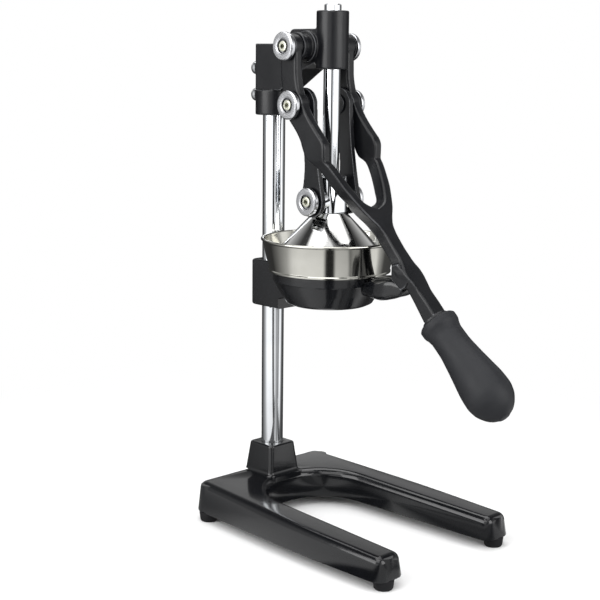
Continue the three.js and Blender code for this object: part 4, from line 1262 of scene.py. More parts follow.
@dataclass
class Head:
    """The head casting with its bolts, bushes, fulcrum shaft and end hardware."""

    half_width: float = 16.0
    top: float = 531.6
    flat_bottom: float = 481.7
    bottom: float = 454.2
    web_top: float = 547.0
    sleeve_top: float = 565.8
    sleeve_bottom: float = 505.2
    sleeve_radius: float = 17.2
    collar_radius: float = 20.8
    bolt_seat: float = 113.3
    bolt_heights: Point2 = (505.2, 475.8)
    bush_tops: Point2 = (564.0, 518.2)
    bolt_pad: float = 8.8
    bush_radius: float = 11.4
    bush_length: float = 13.0
    sleeve_bore: float = 11.7
    sleeve_mouth: float = 9.6
    boss_radius: float = 13.0
    boss_half: float = 28.2
    shoulder_radius: float = 16.6
    shoulder_half: float = 19.6
    shaft_radius: float = 8.0
    shaft_end: float = 46.8
    tap_radius: float = 3.9
    tap_start: float = 37.7
    spacer_radius: float = 14.8
    spacer_length: float = 4.7
    spacer_end: float = 33.2

    def web(self) -> list[Point2]:
        """Side outline of the web between the column block and the sleeve.

        Returns:
            Points as Y and Z.
        """
        back, low = COLUMN_Y + 12.5, self.sleeve_bottom
        corners = [
            (back, self.flat_bottom, 0), (back, self.top, 0), (57.0, self.top, 6.0),
            (46.0, self.web_top, 6.0), (0.0, self.web_top, 0), (0.0, low + 1.6, 0),
            (6.0, low + 1.6, 0), (11.0, low + 7.0, 2.5), (27.5, low, 8.0),
            (64.0, self.flat_bottom, 4.0),
        ]
        return fillet(corners, 6)

    def block(self) -> list[Point2]:
        """Plan of the flat-sided block round the column.

        Returns:
            Points as X and Y.
        """
        radius, half = self.collar_radius, self.half_width
        start = math.acos(half / radius)
        turns = [start + (math.pi - 2 * start) * i / 32 for i in range(33)]
        arc = [(radius * math.cos(a), COLUMN_Y + radius * math.sin(a)) for a in turns]
        return [*arc, (2.0 - half, 64.0), (half - 2.0, 64.0)]

    def casting(self) -> Piece:
        """The head: every part melted into one casting, then bored.

        Returns:
            The casting, bored.
        """
        fulcrum, column = (0.0, *FULCRUM), (0.0, COLUMN_Y, 0.0)
        low, high, flat = self.sleeve_bottom, self.sleeve_top, self.flat_bottom
        shoulder = self.shoulder_half
        shells = [
            barrel(self.collar_radius, self.bottom, flat, centre=column, edge=1.2),
            barrel(15.4, flat - 6, flat + 6, centre=column),
            slab(self.block(), flat, self.top, "Z"),
            slab(self.web(), -self.half_width, self.half_width, "X"),
            barrel(self.sleeve_radius, low, high, edge=1.4),
            barrel(self.boss_radius, -self.boss_half, self.boss_half, "X", fulcrum, 0.8),
            barrel(self.shoulder_radius, -shoulder, shoulder, "X", fulcrum, 0.8),
        ]
        bores = [
            barrel(COLUMN_BORE, self.bottom - 4, 525.8, centre=column),
            barrel(self.sleeve_bore, low - 4, high - 1.5), barrel(self.sleeve_mouth, low, high + 4),
            barrel(SHAFT_BORE, -32, 32, "X", fulcrum),
        ]
        for z in self.bolt_heights:
            shells.append(barrel(self.bolt_pad, 100, self.bolt_seat, "Y", (0, 0, z), 0.6))
            bores.append(barrel(SCREW_BORE, 95, 120, "Y", (0, 0, z), segments=32))
        return carve(cast_union(shells, "head_body", 0.7, 3), bores)

    def bolt(self) -> Shell:
        """A domed bolt with a hex socket, its seat at zero and its head up.

        Returns:
            The bolt, along Z.
        """
        corners = [
            (0, -11.0, 0), (4.0, -11.0, 0.4), (4.0, 0.3, 0), (7.6, 0.3, 0.3), (7.6, 4.4, 1.0),
            (6.9, 7.0, 2.0), (4.6, 9.1, 2.0), (3.2, 9.3, 0.2),
        ]
        return socket_screw(corners, 2.9, 9.3, 2.6)

    def shaft(self) -> Piece:
        """The fulcrum shaft, tapped at both ends.

        Returns:
            The shaft in its place.
        """
        centre, end = (0, *FULCRUM), self.shaft_end
        bar = barrel(self.shaft_radius, -end, end, "X", centre, 0.5)
        taps = [
            barrel(self.tap_radius, low, high, "X", centre, segments=32)
            for low, high in ((-50, -self.tap_start), (self.tap_start, 50))
        ]
        return carve(bar.to_object("fulcrum_bar"), taps)

    def build(self) -> None:
        """Builds and dresses the head and everything fixed in it."""
        dress(self.casting(), COAT, Body.FRAME, ["head_casting"], 50.0)
        places = [(0.0, self.bolt_seat, z) for z in self.bolt_heights]
        bolts = spread("clamp_bolts", self.bolt(), places, CHROME, [(-QUARTER, 0.0, 0.0)] * 2)
        dress(bolts, CHROME, Body.FRAME, ["head_bolt_upper", "head_bolt_lower"])
        bush = ring(self.bush_radius, ROD_BORE, self.bush_length)
        bushes = spread("rod_bushes", bush, [(0.0, 0.0, z) for z in self.bush_tops], BRONZE)
        dress(bushes, BRONZE, Body.FRAME, ["guide_bush_upper", "guide_bush_lower"])
        bright = turned_nickel("fulcrum", FULCRUM)
        dress(self.shaft(), bright, Body.FRAME, ["fulcrum_shaft"])
        EndHardware().fit("fulcrum", Body.FRAME, FULCRUM, LEVER_END, SHAFT_BORE, bright)
        spacer = ring(self.spacer_radius, SHAFT_BORE, self.spacer_length, 0.8)
        both_sides(
            "fulcrum_inner_spacers", spacer, self.spacer_end, FULCRUM, COAT, Body.FRAME,
            "fulcrum_spacer",
        )


@dataclass
class Lever:
    """The fork lever with its eyes, hook, ferrule and grip, and the outer link pin ends.

    Each row of the arm says, as shares of its drop, reach and outer face: drop, front, back
    outside, back inside, outer face, inner face.
    """

    outer: float = 44.5
    inner: float = 33.5
    edge: float = 2.6
    drop: float = 266.0
    reach: float = 172.0
    eye_radius: float = 13.2
    pin_eye_radius: float = 15.0
    pin_end: float = 46.8
    pin_length: float = 13.3
    tang_radius: float = 6.5
    grip_bore: float = 6.8
    ferrule_radius: float = 14.5
    hook_half: float = 12.6
    rows: tuple[tuple[float, ...], ...] = (
        (0, 0.072, -0.072, -0.072, 1, 0.753), (0.107, 0.075, -0.064, -0.064, 1, 0.753),
        (0.163, 0.091, -0.053, -0.053, 1, 0.753), (0.22, 0.13, -0.043, -0.043, 1, 0.753),
        (0.276, 0.184, -0.002, -0.002, 1, 0.753), (0.332, 0.26, 0.075, 0.075, 1, 0.753),
        (0.37, 0.313, 0.114, 0.114, 1, 0.753), (0.39, 0.321, 0.126, 0.126, 1, 0.753),
        (0.4376, 0.321, 0.165, 0.174, 0.99, 0.745), (0.4564, 0.348, 0.201, 0.247, 0.952, 0.712),
        (0.49, 0.391, 0.27, 0.296, 0.887, 0.648), (0.5165, 0.422, 0.296, 0.331, 0.835, 0.588),
        (0.539, 0.448, 0.317, 0.358, 0.789, 0.535), (0.577, 0.49, 0.359, 0.406, 0.68, 0.419),
        (0.5955, 0.511, 0.383, 0.436, 0.618, 0.336), (0.6105, 0.527, 0.405, 0.459, 0.568, 0.187),
        (0.624, 0.541, 0.415, 0.462, 0.52, -0.02), (0.652, 0.57, 0.445, 0.462, 0.393, -0.02),
        (0.689, 0.618, 0.494, 0.494, 0.236, -0.02), (0.727, 0.669, 0.555, 0.555, 0.191, -0.02),
        (0.765, 0.719, 0.607, 0.607, 0.191, -0.02), (0.802, 0.773, 0.665, 0.665, 0.2, -0.02),
        (0.822, 0.798, 0.693, 0.693, 0.235, -0.02), (0.842, 0.825, 0.722, 0.722, 0.285, -0.02),
        (0.859, 0.848, 0.748, 0.748, 0.297, -0.02), (0.885, 0.89, 0.79, 0.79, 0.255, -0.02),
        (0.915, 0.931, 0.828, 0.828, 0.225, -0.02), (0.953, 0.992, 0.876, 0.876, 0.225, -0.02),
        (1.03, 1.104, 0.965, 0.965, 0.225, -0.02),
    )
    grip_start: Point2 = (-154.228, 255.484)
    grip_pitch: float = 0.744
    grip_profile: tuple[Point2, ...] = (
        (0.0, 19.1), (1.6, 20.3), (6.6, 20.2), (12.1, 18.45), (18.1, 17.4), (30.2, 17.6),
        (45.9, 19.3), (64.0, 22.0), (82.1, 24.6), (91.8, 25.0), (101.5, 23.25), (109.9, 18.75),
        (116.0, 13.0), (119.6, 6.5),
    )
    grip_length: float = 120.8

    def arm(self, side: Side) -> Shell:
        """One arm, skinned over level cuts through it.

        Args:
            side: Which side of the fork.

        Returns:
            The closed shell.
        """
        y, z = FULCRUM
        levels = []
        for drop, front, rear_out, rear_in, outer, inner in smooth_table(self.rows, 3):
            inside = self.edge if inner > 0 else 0.3
            corners = [
                (outer, front, self.edge), (outer, rear_out, self.edge), (inner, rear_in, inside),
                (inner, front, inside),
            ]
            wide = side.value * self.outer
            outline = fillet([(wide * a, y - self.reach * b, r) for a, b, r in corners], 4)
            levels.append((z - self.drop * drop, outline))
        return stack(levels)

    def grip_axis(self) -> Matrix:
        """The frame of the grip: Z runs along it from its start.

        Returns:
            The turn and shift from the grip to the frame.
        """
        y, z = self.grip_start
        turn = Matrix.Rotation(QUARTER + self.grip_pitch, 4, "X")
        return Matrix.Translation((0.0, y, z)) @ turn

    def hook(self) -> Shell:
        """The hook under the shank that lands on the front rest.

        Returns:
            The hook in its place.
        """
        corners = [
            (-101.19, 308.0, 0), (-101.19, 294.63, 1.5), (-114.19, 284.23, 1.5),
            (-120.19, 288.23, 3.0), (-126.19, 296.23, 3.0), (-109.19, 310.63, 0),
        ]
        return slab(fillet(corners, 5), -self.hook_half, self.hook_half, "X")

    def fork(self) -> Piece:
        """The fork: arms, eyes and hook melted together, bored and cut off at the grip.

        Returns:
            The fork in its place.
        """
        shells = [self.arm(Side.LEFT), self.arm(Side.RIGHT), self.hook()]
        for side in Side:
            low, high = sorted((side.value * self.inner, side.value * self.outer))
            for radius, pin in ((self.eye_radius, FULCRUM), (self.pin_eye_radius, LINK_PIN)):
                shells.append(barrel(radius, low, high, "X", (0, *pin), 1.0))
        axis = self.grip_axis()
        cuts = [
            barrel(SHAFT_BORE, -50, 50, "X", (0, *FULCRUM)),
            barrel(PIN_BORE, -50, 50, "X", (0, *LINK_PIN)),
            lathe([(0, -4.3), (60, -4.3), (60, 90), (0, 90)], 32).turned(axis),
        ]
        made = carve(cast_union(shells, "fork_body", 0.8, 2), cuts)
        radius = self.tang_radius
        tang = lathe([(0, -8), (radius, -8), (radius, 91), (radius - 1, 92), (0, 92)], 32)
        return carve(made, [tang.turned(axis)], "UNION")

    def grip(self) -> Shell:
        """The swelling grip with its round nose and blind bore, along Z from its start.

        Returns:
            The grip, along Z.
        """
        profile = [(float(r), float(s)) for s, r in smooth_table(self.grip_profile, 5)]
        tip_radius, tip_start = profile[-1]
        nose = [
            (tip_radius * (1 - inside), tip_start + (self.grip_length - tip_start) * (1 - below))
            for below, inside in rounding(10)[1:-1]
        ]
        bore, end = self.grip_bore, 92.3
        inside = [(0.0, end), (bore, end), (bore, 0.3), (bore + 0.8, 0.0), (18.2, 0.0)]
        return lathe([*inside, *profile, *nose, (0.0, self.grip_length)])

    def build(self) -> None:
        """Builds and dresses the lever and the outer ends of the link pins."""
        dress(self.fork(), COAT, Body.LEVER, ["lever_fork"], 50.0)
        axis = self.grip_axis()
        bore, outer = self.grip_bore, self.ferrule_radius
        corners = [(bore, -4.0, 0), (outer, -4.0, 0.7), (outer, -0.3, 0.7), (bore, -0.3, 0)]
        ferrule = lathe(fillet(corners, 4), closed=True).turned(axis)
        dress(ferrule.to_object("ferrule"), COAT, Body.LEVER, ["grip_ferrule"])
        dress(self.grip().turned(axis).to_object("grip"), GRIP, Body.LEVER, ["lever_grip"])
        bright = turned_nickel("link pins", LINK_PIN)
        stub = barrel(PIN_RADIUS, -self.pin_length, 0, edge=0.4)
        both_sides(
            "link_pin_stubs", stub, self.pin_end, LINK_PIN, bright, Body.LEVER, "link_pin_end",
        )
        EndHardware().fit("link_pin", Body.LEVER, LINK_PIN, LEVER_END, PIN_BORE, bright)


@dataclass
class Links:
    """The two dog-bone links with the inner ends of their pins."""

    inner: float = 24.0
    outer: float = 29.6
    upper_eye: float = 18.0
    lower_eye: float = 17.0
    waist: float = 9.4
    bow: float = 5.4
    stations: int = 96
    spacer_radius: float = 13.4
    spacer_length: float = 3.3
    spacer_end: float = 33.2
    pin_head: float = 11.0
    pin_length: float = 9.2

    def outline(self) -> list[Point2]:
        """Side outline of a link, as Y and Z.

        Returns:
            Points as Y and Z.
        """
        top = Vector(LINK_PIN)
        run = Vector(CROSSHEAD_PIN) - top
        length = run.length
        along = run.normalized()
        across = Vector((along.y, -along.x))
        front, back = [], []
        for i in range(self.stations + 1):
            turn = math.pi * i / self.stations
            full = length + self.upper_eye + self.lower_eye
            s = full * (1 - math.cos(turn)) / 2 - self.upper_eye
            share = min(max(s / length, 0.0), 1.0)
            bulge = (2 * share - 1) ** 2
            eye = self.upper_eye if share < 0.5 else self.lower_eye
            half = self.waist + (eye - self.waist) * bulge
            bow = self.bow * (1 - bulge)
            sides = [half + bow, half - bow] if 0 <= s <= length else [0.0, 0.0]
            for radius, place_on in ((self.upper_eye, s), (self.lower_eye, s - length)):
                reach = math.sqrt(max(radius**2 - place_on**2, 0.0))
                sides = [max(sides[0], reach), max(sides[1], reach)]
            middle = top + along * s
            front.append(tuple(middle + across * sides[0]))
            back.append(tuple(middle - across * sides[1]))
        return [*front, *back[-2:0:-1]]

    def build(self) -> None:
        """Builds and dresses the links and their pins."""
        outline = self.outline()
        plates = [
            slab(outline, low, high, "X")
            for low, high in ((self.inner, self.outer), (-self.outer, -self.inner))
        ]
        bores = [barrel(PIN_BORE, -40, 40, "X", (0, *pin)) for pin in (LINK_PIN, CROSSHEAD_PIN)]
        made = carve(cast_union(plates, "link_plates", 0.6, 2), bores)
        dress(made, COAT, Body.LINKS, ["link_left", "link_right"], 50.0)
        head, end = self.pin_head, self.pin_length
        corners = [
            (0, -2.7, 0), (head, -2.7, 0.8), (head, -0.3, 0.3), (PIN_RADIUS, -0.3, 0),
            (PIN_RADIUS, end, 0.3), (0, end, 0),
        ]
        spacer = ring(self.spacer_radius, PIN_BORE, self.spacer_length, 0.6)
        for name, pattern, reach, stem in (
            ("bodies", lathe(fillet(corners, 4, closed=False)), self.inner, "link_pin"),
            ("spacers", spacer, self.spacer_end, "link_pin_spacer"),
        ):
            both_sides(f"link_pin_{name}", pattern, reach, LINK_PIN, COAT, Body.LINKS, stem)


@dataclass
class Plunger:
    """Rod, crosshead with its pins, hollow press cone and nut."""

    rod_radius: float = 9.0
    rod_low: float = 343.1
    rod_high: float = 572.8
    half_width: float = 23.7
    hub_half: float = 17.4
    hub_depth: float = 14.4
    hub_corner: float = 11.0
    boss_radius: float = 12.4
    top: float = 393.0
    foot: float = 353.7
    cone_radius: float = 60.0
    cone_low: float = 309.0
    cone_high: float = 353.4
    cone_top_radius: float = 17.8
    skirt: float = 5.0
    cone_wall: float = 3.0
    nut_radius: float = 12.0
    nut_height: float = 7.0
    pin_hole: float = 12.4
    pin_start: float = 12.7
    pin_end: float = 31.9

    def crosshead(self) -> Piece:
        """The chromed crosshead: a round-cornered hub with the cross boss for the pins.

        Returns:
            The crosshead in its place.
        """
        centre, edge, half = (0, *CROSSHEAD_PIN), 2.4, self.half_width
        levels = [(self.foot, 0.5), (self.foot + 0.5, 0.0)]
        levels += [(self.top - edge * below, edge * inside) for below, inside in rounding(6)]
        outlines = []
        for height, inset in levels:
            deep, corner = self.hub_depth - inset, self.hub_corner - inset
            wide = self.hub_half - inset
            outlines.append((height, oblong(wide, -deep, deep, (corner, corner), 16)))
        boss = barrel(self.boss_radius, -half, half, "X", centre, 1.6)
        made = carve(stack(outlines).to_object("crosshead_body"), [boss], "UNION")
        bores = [barrel(ROD_BORE, self.foot - 4, self.top + 4)]
        for low, high in ((-half - 3, -self.pin_hole), (self.pin_hole, half + 3)):
            bores.append(barrel(PIN_BORE, low, high, "X", centre))
        return carve(made, bores)

    def cone(self) -> Shell:
        """The hollow press cone with its short skirt.

        Returns:
            The cone in its place.
        """
        wall, high, low = self.cone_wall, self.cone_high, self.cone_low
        run = (self.cone_radius - self.cone_top_radius) / (high - low)
        slanted = wall * math.hypot(1, run)
        corners = [
            (ROD_BORE, high, 0.3), (ROD_BORE, high - wall, 0.3),
            (self.cone_top_radius - slanted + wall * run, high - wall, 0.5),
            (self.cone_radius - slanted, low, 1.0),
            (self.cone_radius - wall, low - self.skirt, 1.0),
            (self.cone_radius, low - self.skirt, 1.2), (self.cone_radius, low, 2.4),
            (self.cone_top_radius, high, 1.5),
        ]
        return lathe(fillet(corners, 6), 192, closed=True)

    def build(self) -> None:
        """Builds and dresses the plunger."""
        rod = barrel(self.rod_radius, self.rod_low, self.rod_high, edge=1.9, segments=128)
        dress(rod.to_object("rod"), CHROME, Body.PLUNGER, ["plunger_rod"])
        dress(self.crosshead(), CHROME, Body.PLUNGER, ["crosshead"], 30.0)
        dress(self.cone().to_object("cone"), SPUN, Body.PLUNGER, ["press_cone"], 40.0)
        low, high, wide = self.rod_low, self.rod_low + self.nut_height, self.nut_radius
        corners = [(ROD_BORE, low, 0.4), (wide, low, 0.8), (wide, high, 0.8), (ROD_BORE, high, 0.4)]
        nut = lathe(fillet(corners, 2), 6, closed=True)
        dress(nut.to_object("nut"), ZINC, Body.PLUNGER, ["cone_nut"])
        bright = turned_nickel("crosshead pins", CROSSHEAD_PIN)
        bar = barrel(PIN_RADIUS, self.pin_start - self.pin_end, 0, edge=0.4)
        both_sides(
            "crosshead_bars", bar, self.pin_end, CROSSHEAD_PIN, bright, Body.PLUNGER,
            "crosshead_pin",
        )
        EndHardware().fit("crosshead", Body.PLUNGER, CROSSHEAD_PIN, CROSSHEAD_END, PIN_BORE, bright)


@dataclass
class Bowl:
    """The loose juice bowl with its strainer plate and ribbed reamer."""

    seat: float = 290.0
    rim: float = 326.0
    rim_radius: float = 73.0
    bead: float = 1.6
    wall: float = 1.8
    foot_radius: float = 65.0
    spigot_radius: float = 56.0
    hole_radius: float = 47.0
    plate_low: float = 292.1
    plate_high: float = 294.1
    plate_radius: float = 56.0
    plate_hole: float = 15.3
    cut_depth: float = 20.0
    slots: int = 20
    slot_inner: float = 34.0
    slot_outer: float = 45.0
    slot_width: float = 2.6
    reamer_low: float = 294.4
    reamer_rise: float = 36.0
    reamer_radius: float = 30.0
    reamer_foot: float = 15.0
    ribs: int = 8
    rib_depth: float = 3.2

    def bowl(self) -> Shell:
        """The spun bowl with its rolled rim and pressed foot.

        Returns:
            The bowl in its place.
        """
        rim, bead, wall = self.rim_radius, self.bead, self.wall
        turns = [math.radians(20 + i * 13) for i in range(20)]
        rolled = [
            (rim - 0.1 + bead * math.sin(turn), self.rim - bead - bead * math.cos(turn))
            for turn in turns
        ]
        seat, floor, low = self.seat, self.seat + wall, self.seat - 3
        foot, spigot = self.foot_radius, self.spigot_radius
        corners = [
            (rim, self.rim - 2 * bead - 0.6, 0.3), (foot + 0.8, floor + 1.0, 0.5),
            (foot + bead, seat + 1.7, 0.3), (foot + bead, seat, 0.3), (spigot, seat, 0.2),
            (spigot, low, 0.3), (spigot - wall, low, 0.3), (spigot - wall, seat, 0.2),
            (self.hole_radius, seat, 0.3), (self.hole_radius, floor, 0.3),
            (foot - wall, floor, 2.5), (rim - wall, self.rim - bead - 1.6, 0.5),
        ]
        outside = fillet(corners, 4, closed=False)
        return lathe([*reversed(rolled), *outside], 192, closed=True)

    def strainer(self) -> Piece:
        """The strainer: a disc whose slots and centre hole are cut in a node tree.

        Returns:
            The strainer in its place.
        """
        sizes: dict[str, object] = {
            "Radius": self.plate_radius * MM, "Thickness": (self.plate_high - self.plate_low) * MM,
            "Hole Radius": self.plate_hole * MM,
            "Slot Start": (self.slot_inner + self.slot_outer) / 2 * MM,
            "Slot Length": (self.slot_outer - self.slot_inner) * MM,
            "Slot Width": self.slot_width * MM, "Cut Depth": self.cut_depth * MM,
            "Slot Count": self.slots,
        }
        grown = Grown("strainer", sizes)
        tree, size = grown.tree, grown.inputs
        plate, hole = (
            add_node(
                tree, "GeometryNodeMeshCylinder", {"fill_type": "NGON"},
                {"Vertices": count, "Radius": size[radius], "Depth": size[depth]},
            )
            for count, radius, depth in (
                (192, "Radius", "Thickness"), (64, "Hole Radius", "Cut Depth"),
            )
        )
        parts = {0: size["Slot Width"], 1: size["Slot Length"], 2: size["Cut Depth"]}
        across = add_node(tree, "ShaderNodeCombineXYZ", inputs=parts)
        cutter = add_node(tree, "GeometryNodeMeshCube", inputs={"Size": across})
        places = {"Vertices": size["Slot Count"], "Radius": size["Slot Start"]}
        circle = add_node(tree, "GeometryNodeMeshCircle", inputs=places)
        spot = add_node(tree, "GeometryNodeInputPosition")
        outward = {"axis": "Y", "pivot_axis": "Z"}
        facing = add_node(tree, "FunctionNodeAlignRotationToVector", outward, {"Vector": spot})
        copies = {"Points": circle, "Instance": cutter, "Rotation": facing}
        slots = add_node(tree, "GeometryNodeInstanceOnPoints", inputs=copies)
        slots = add_node(tree, "GeometryNodeRealizeInstances", inputs={0: slots})
        exact = {"operation": "DIFFERENCE", "solver": "EXACT"}
        cuts = {"Mesh 1": plate, "Mesh 2": [slots, hole]}
        made = grown.run(add_node(tree, "GeometryNodeMeshBoolean", exact, cuts), SPUN)
        middle = (self.plate_low + self.plate_high) / 2
        made.data.transform(Matrix.Translation(place((0, 0, middle))))
        return made

    def reamer(self) -> Piece:
        """The reamer: rings of a rounded cone that a node tree swells into ribs.

        Returns:
            The reamer in its place.
        """
        levels = [(0, 1), (0.3, 0.8), (0.6, 0.56), (0.82, 0.34), (0.94, 0.2), (1, 0.07)]
        body, low, rise = self.reamer_radius - self.rib_depth, self.reamer_low, self.reamer_rise
        profile = [(0.0, self.plate_low), (self.reamer_foot, self.plate_low)]
        profile.append((self.reamer_foot, low))
        profile += [(body * share, low + rise * up) for up, share in smooth_table(levels, 8)]
        profile.append((0.0, low + rise))
        source = lathe(profile, self.ribs * 24).to_object("reamer_blank")
        sizes: dict[str, object] = {
            "Half Rib Count": self.ribs / 2, "Rib Share": self.rib_depth / body,
            "Foot Height": (low - 0.01) * MM, "Centre Y": AXIS_Y,
        }
        grown = Grown("ribbed_reamer", sizes)
        tree, size = grown.tree, grown.inputs
        spot = add_node(tree, "GeometryNodeInputPosition")
        x, y, z = add_node(tree, "ShaderNodeSeparateXYZ", inputs={0: spot}).outputs
        centred, above = (
            add_node(tree, "ShaderNodeMath", {"operation": operation}, {0: value, 1: limit})
            for operation, value, limit in (
                ("SUBTRACT", y, size["Centre Y"]), ("GREATER_THAN", z, size["Foot Height"]),
            )
        )
        swell: Socket | Node = centred
        for operation, *others in (
            ["ARCTAN2", x], ["MULTIPLY", size["Half Rib Count"]], ["SINE"], ["ABSOLUTE"],
            ["MULTIPLY_ADD", -2.0, 1.0], ["MULTIPLY", size["Rib Share"]], ["MULTIPLY", above],
        ):
            parts = dict(enumerate([swell, *others]))
            swell = add_node(tree, "ShaderNodeMath", {"operation": operation}, parts)
        flat = add_node(tree, "ShaderNodeCombineXYZ", inputs={0: x, 1: centred})
        parts = {0: flat, "Scale": swell}
        move = add_node(tree, "ShaderNodeVectorMath", {"operation": "SCALE"}, parts)
        parts = {"Geometry": size["Geometry"], "Offset": move}
        return grown.run(add_node(tree, "GeometryNodeSetPosition", inputs=parts), POLISHED, source)

    def build(self) -> None:
        """Builds and dresses the bowl."""
        bowl = self.bowl().to_object("bowl_body")
        dress(bowl, POLISHED, Body.BOWL, ["juice_bowl"], 40.0)
        dress(self.strainer(), SPUN, Body.BOWL, ["strainer_plate"])
        dress(self.reamer(), POLISHED, Body.BOWL, ["reamer"], 40.0)


@dataclass
class Holder:
    """The bowl holder: funnel ring, clamp on the column and front rest.

    Each row of the rest says, as shares: reach, half width, top and underside.
    """

    top: float = 289.7
    radius: float = 61.4
    band: float = 10.5
    bottom: float = 253.5
    bottom_radius: float = 42.0
    outlet_radius: float = 17.0
    clamp_half: float = 18.0
    clamp_top: float = 292.3
    clamp_low: float = 239.9
    clamp_back: float = 108.0
    clamp_edge: float = 2.6
    clamp_front: float = 62.0
    recess_radius: float = 66.9
    bore_radius: float = 56.3
    rest_top: float = 294.4
    rest_tip: float = -114.0
    rest_half: float = 13.5
    rest_depth: float = 26.1
    screw_z: float = 265.9
    rest_rows: tuple[tuple[float, ...], ...] = (
        (0.11, 0.667, 0.284, 0.935), (0.278, 0.704, 0.284, 0.943), (0.389, 0.815, 0.13, 0.973),
        (0.512, 0.963, 0.023, 1), (0.667, 1, -0.023, 0.935), (0.806, 0.926, -0.023, 0.801),
        (0.917, 0.815, 0.092, 0.705), (0.97, 0.76, 0.15, 0.62), (1, 0.667, 0.226, 0.513),
    )

    def funnel(self) -> Shell:
        """The funnel's outside, with its crisp band and cone.

        Returns:
            The solid funnel.
        """
        foot, low, radius = self.top - self.band, self.bottom, self.bottom_radius
        corners = [
            (0, low, 0), (radius, low, 2.0), (radius + 5.5, low + 2.6, 3.0),
            (self.radius - 6.6, low + 15.0, 14.0), (self.radius - 0.8, foot, 1.2),
            (self.radius, foot + 1.0, 0.6), (self.radius, self.top, 0.8), (0, self.top, 0),
        ]
        return lathe(fillet(corners, 8, closed=False), 192)

    def hollow(self) -> Shell:
        """The funnel's inside, down through the outlet.

        Returns:
            The shell to cut out.
        """
        foot, low, outlet = self.top - self.band, self.bottom - 2, self.outlet_radius
        corners = [
            (0, low, 0), (outlet, low, 0), (outlet, 261.7, 1.5),
            (self.bottom_radius - 4, 265.7, 4.0), (self.bore_radius - 4, foot - 4, 4.0),
            (self.bore_radius, foot, 0.8), (self.bore_radius, self.top + 2, 0),
            (0, self.top + 2, 0),
        ]
        return lathe(fillet(corners, 6, closed=False), 192)

    def rest(self) -> Piece:
        """The front rest: a paddle, cut off under the hook, with softened edges.

        Returns:
            The rest, still apart from the holder.
        """
        rings = []
        for reach, width, top, under in smooth_table(self.rest_rows, 6):
            half = self.rest_half * width
            low, high = (self.rest_top - self.rest_depth * share for share in (under, top))
            corner = 0.7 * min(half, (high - low) / 2)
            y = -self.bottom_radius + (self.rest_tip + self.bottom_radius) * reach
            outline = oblong(half, low, high, (corner, corner), 8)
            rings.append([(x, y, z) for x, z in outline])
        seat = [(-101.0, self.rest_top), (-101.0, 308.0), (-128.0, 308.0), (-128.0, 272.8)]
        made = carve(skin(rings).to_object("rest_body"), [slab(seat, -16, 16, "X")])
        softened = made.modifiers.new("edges", "BEVEL")
        softened.width = 0.8 * MM
        softened.segments = 3
        softened.limit_method = "ANGLE"
        softened.angle_limit = math.radians(35)
        return freeze(made, "rest_body")

    def clamp(self) -> Shell:
        """The clamp block round the column, rounded at its back corners and edges.

        Returns:
            The clamp block.
        """
        edge, low, high = self.clamp_edge, self.clamp_low, self.clamp_top
        bends = rounding(5)
        levels = [(low + edge * below, edge * inside) for below, inside in reversed(bends)]
        levels += [(high - edge * below, edge * inside) for below, inside in bends]
        half, front, back = self.clamp_half, self.clamp_front, self.clamp_back
        return stack(
            (z, oblong(half - inset, front, back - inset, (0, 5.0), 6)) for z, inset in levels
        )

    def gusset(self) -> Shell:
        """The arched web under the funnel that runs to the clamp.

        Returns:
            The web.
        """
        front, low, high = self.bottom_radius - 4, self.clamp_low, self.clamp_top
        corners = [
            (front, self.bottom + 3, 0), (60.5, self.bottom, 9.0), (68.5, low + 3.0, 7.0),
            (74.0, low, 1.0), (76.0, low, 0), (76.0, high, 0), (63.5, high, 0), (63.5, self.top, 0),
            (front, self.top, 0),
        ]
        return slab(fillet(corners, 8), -self.clamp_half, self.clamp_half, "X")

    def casting(self) -> Piece:
        """The holder, joined and cut out.

        Returns:
            The casting in its place.
        """
        column = (0.0, COLUMN_Y, 0.0)
        parts = [self.clamp(), self.gusset(), self.rest()]
        made = carve(self.funnel().to_object("holder_body"), parts, "UNION")
        tools = [
            self.hollow(), barrel(self.recess_radius, self.top, self.clamp_top + 3, segments=192),
            barrel(COLUMN_BORE, self.clamp_low - 4, self.clamp_top + 4, centre=column),
            barrel(SCREW_BORE, 95, 112, "Y", (0, 0, self.screw_z), segments=48),
        ]
        return carve(made, tools)

    def build(self) -> None:
        """Builds and dresses the holder and its set screw."""
        dress(self.casting(), ENAMEL, Body.FRAME, ["bowl_holder"], 36.0)
        corners = [(0, -5.7, 0), (4.0, -5.7, 0.5), (4.0, -0.3, 0.5), (3.2, -0.3, 0)]
        screw = socket_screw(corners, 2.5, -0.3, 3.5)
        turned = screw.turned(spin("Y", (0, self.clamp_back, self.screw_z)))
        dress(turned.to_object("set_screw"), ZINC, Body.FRAME, ["holder_set_screw"])


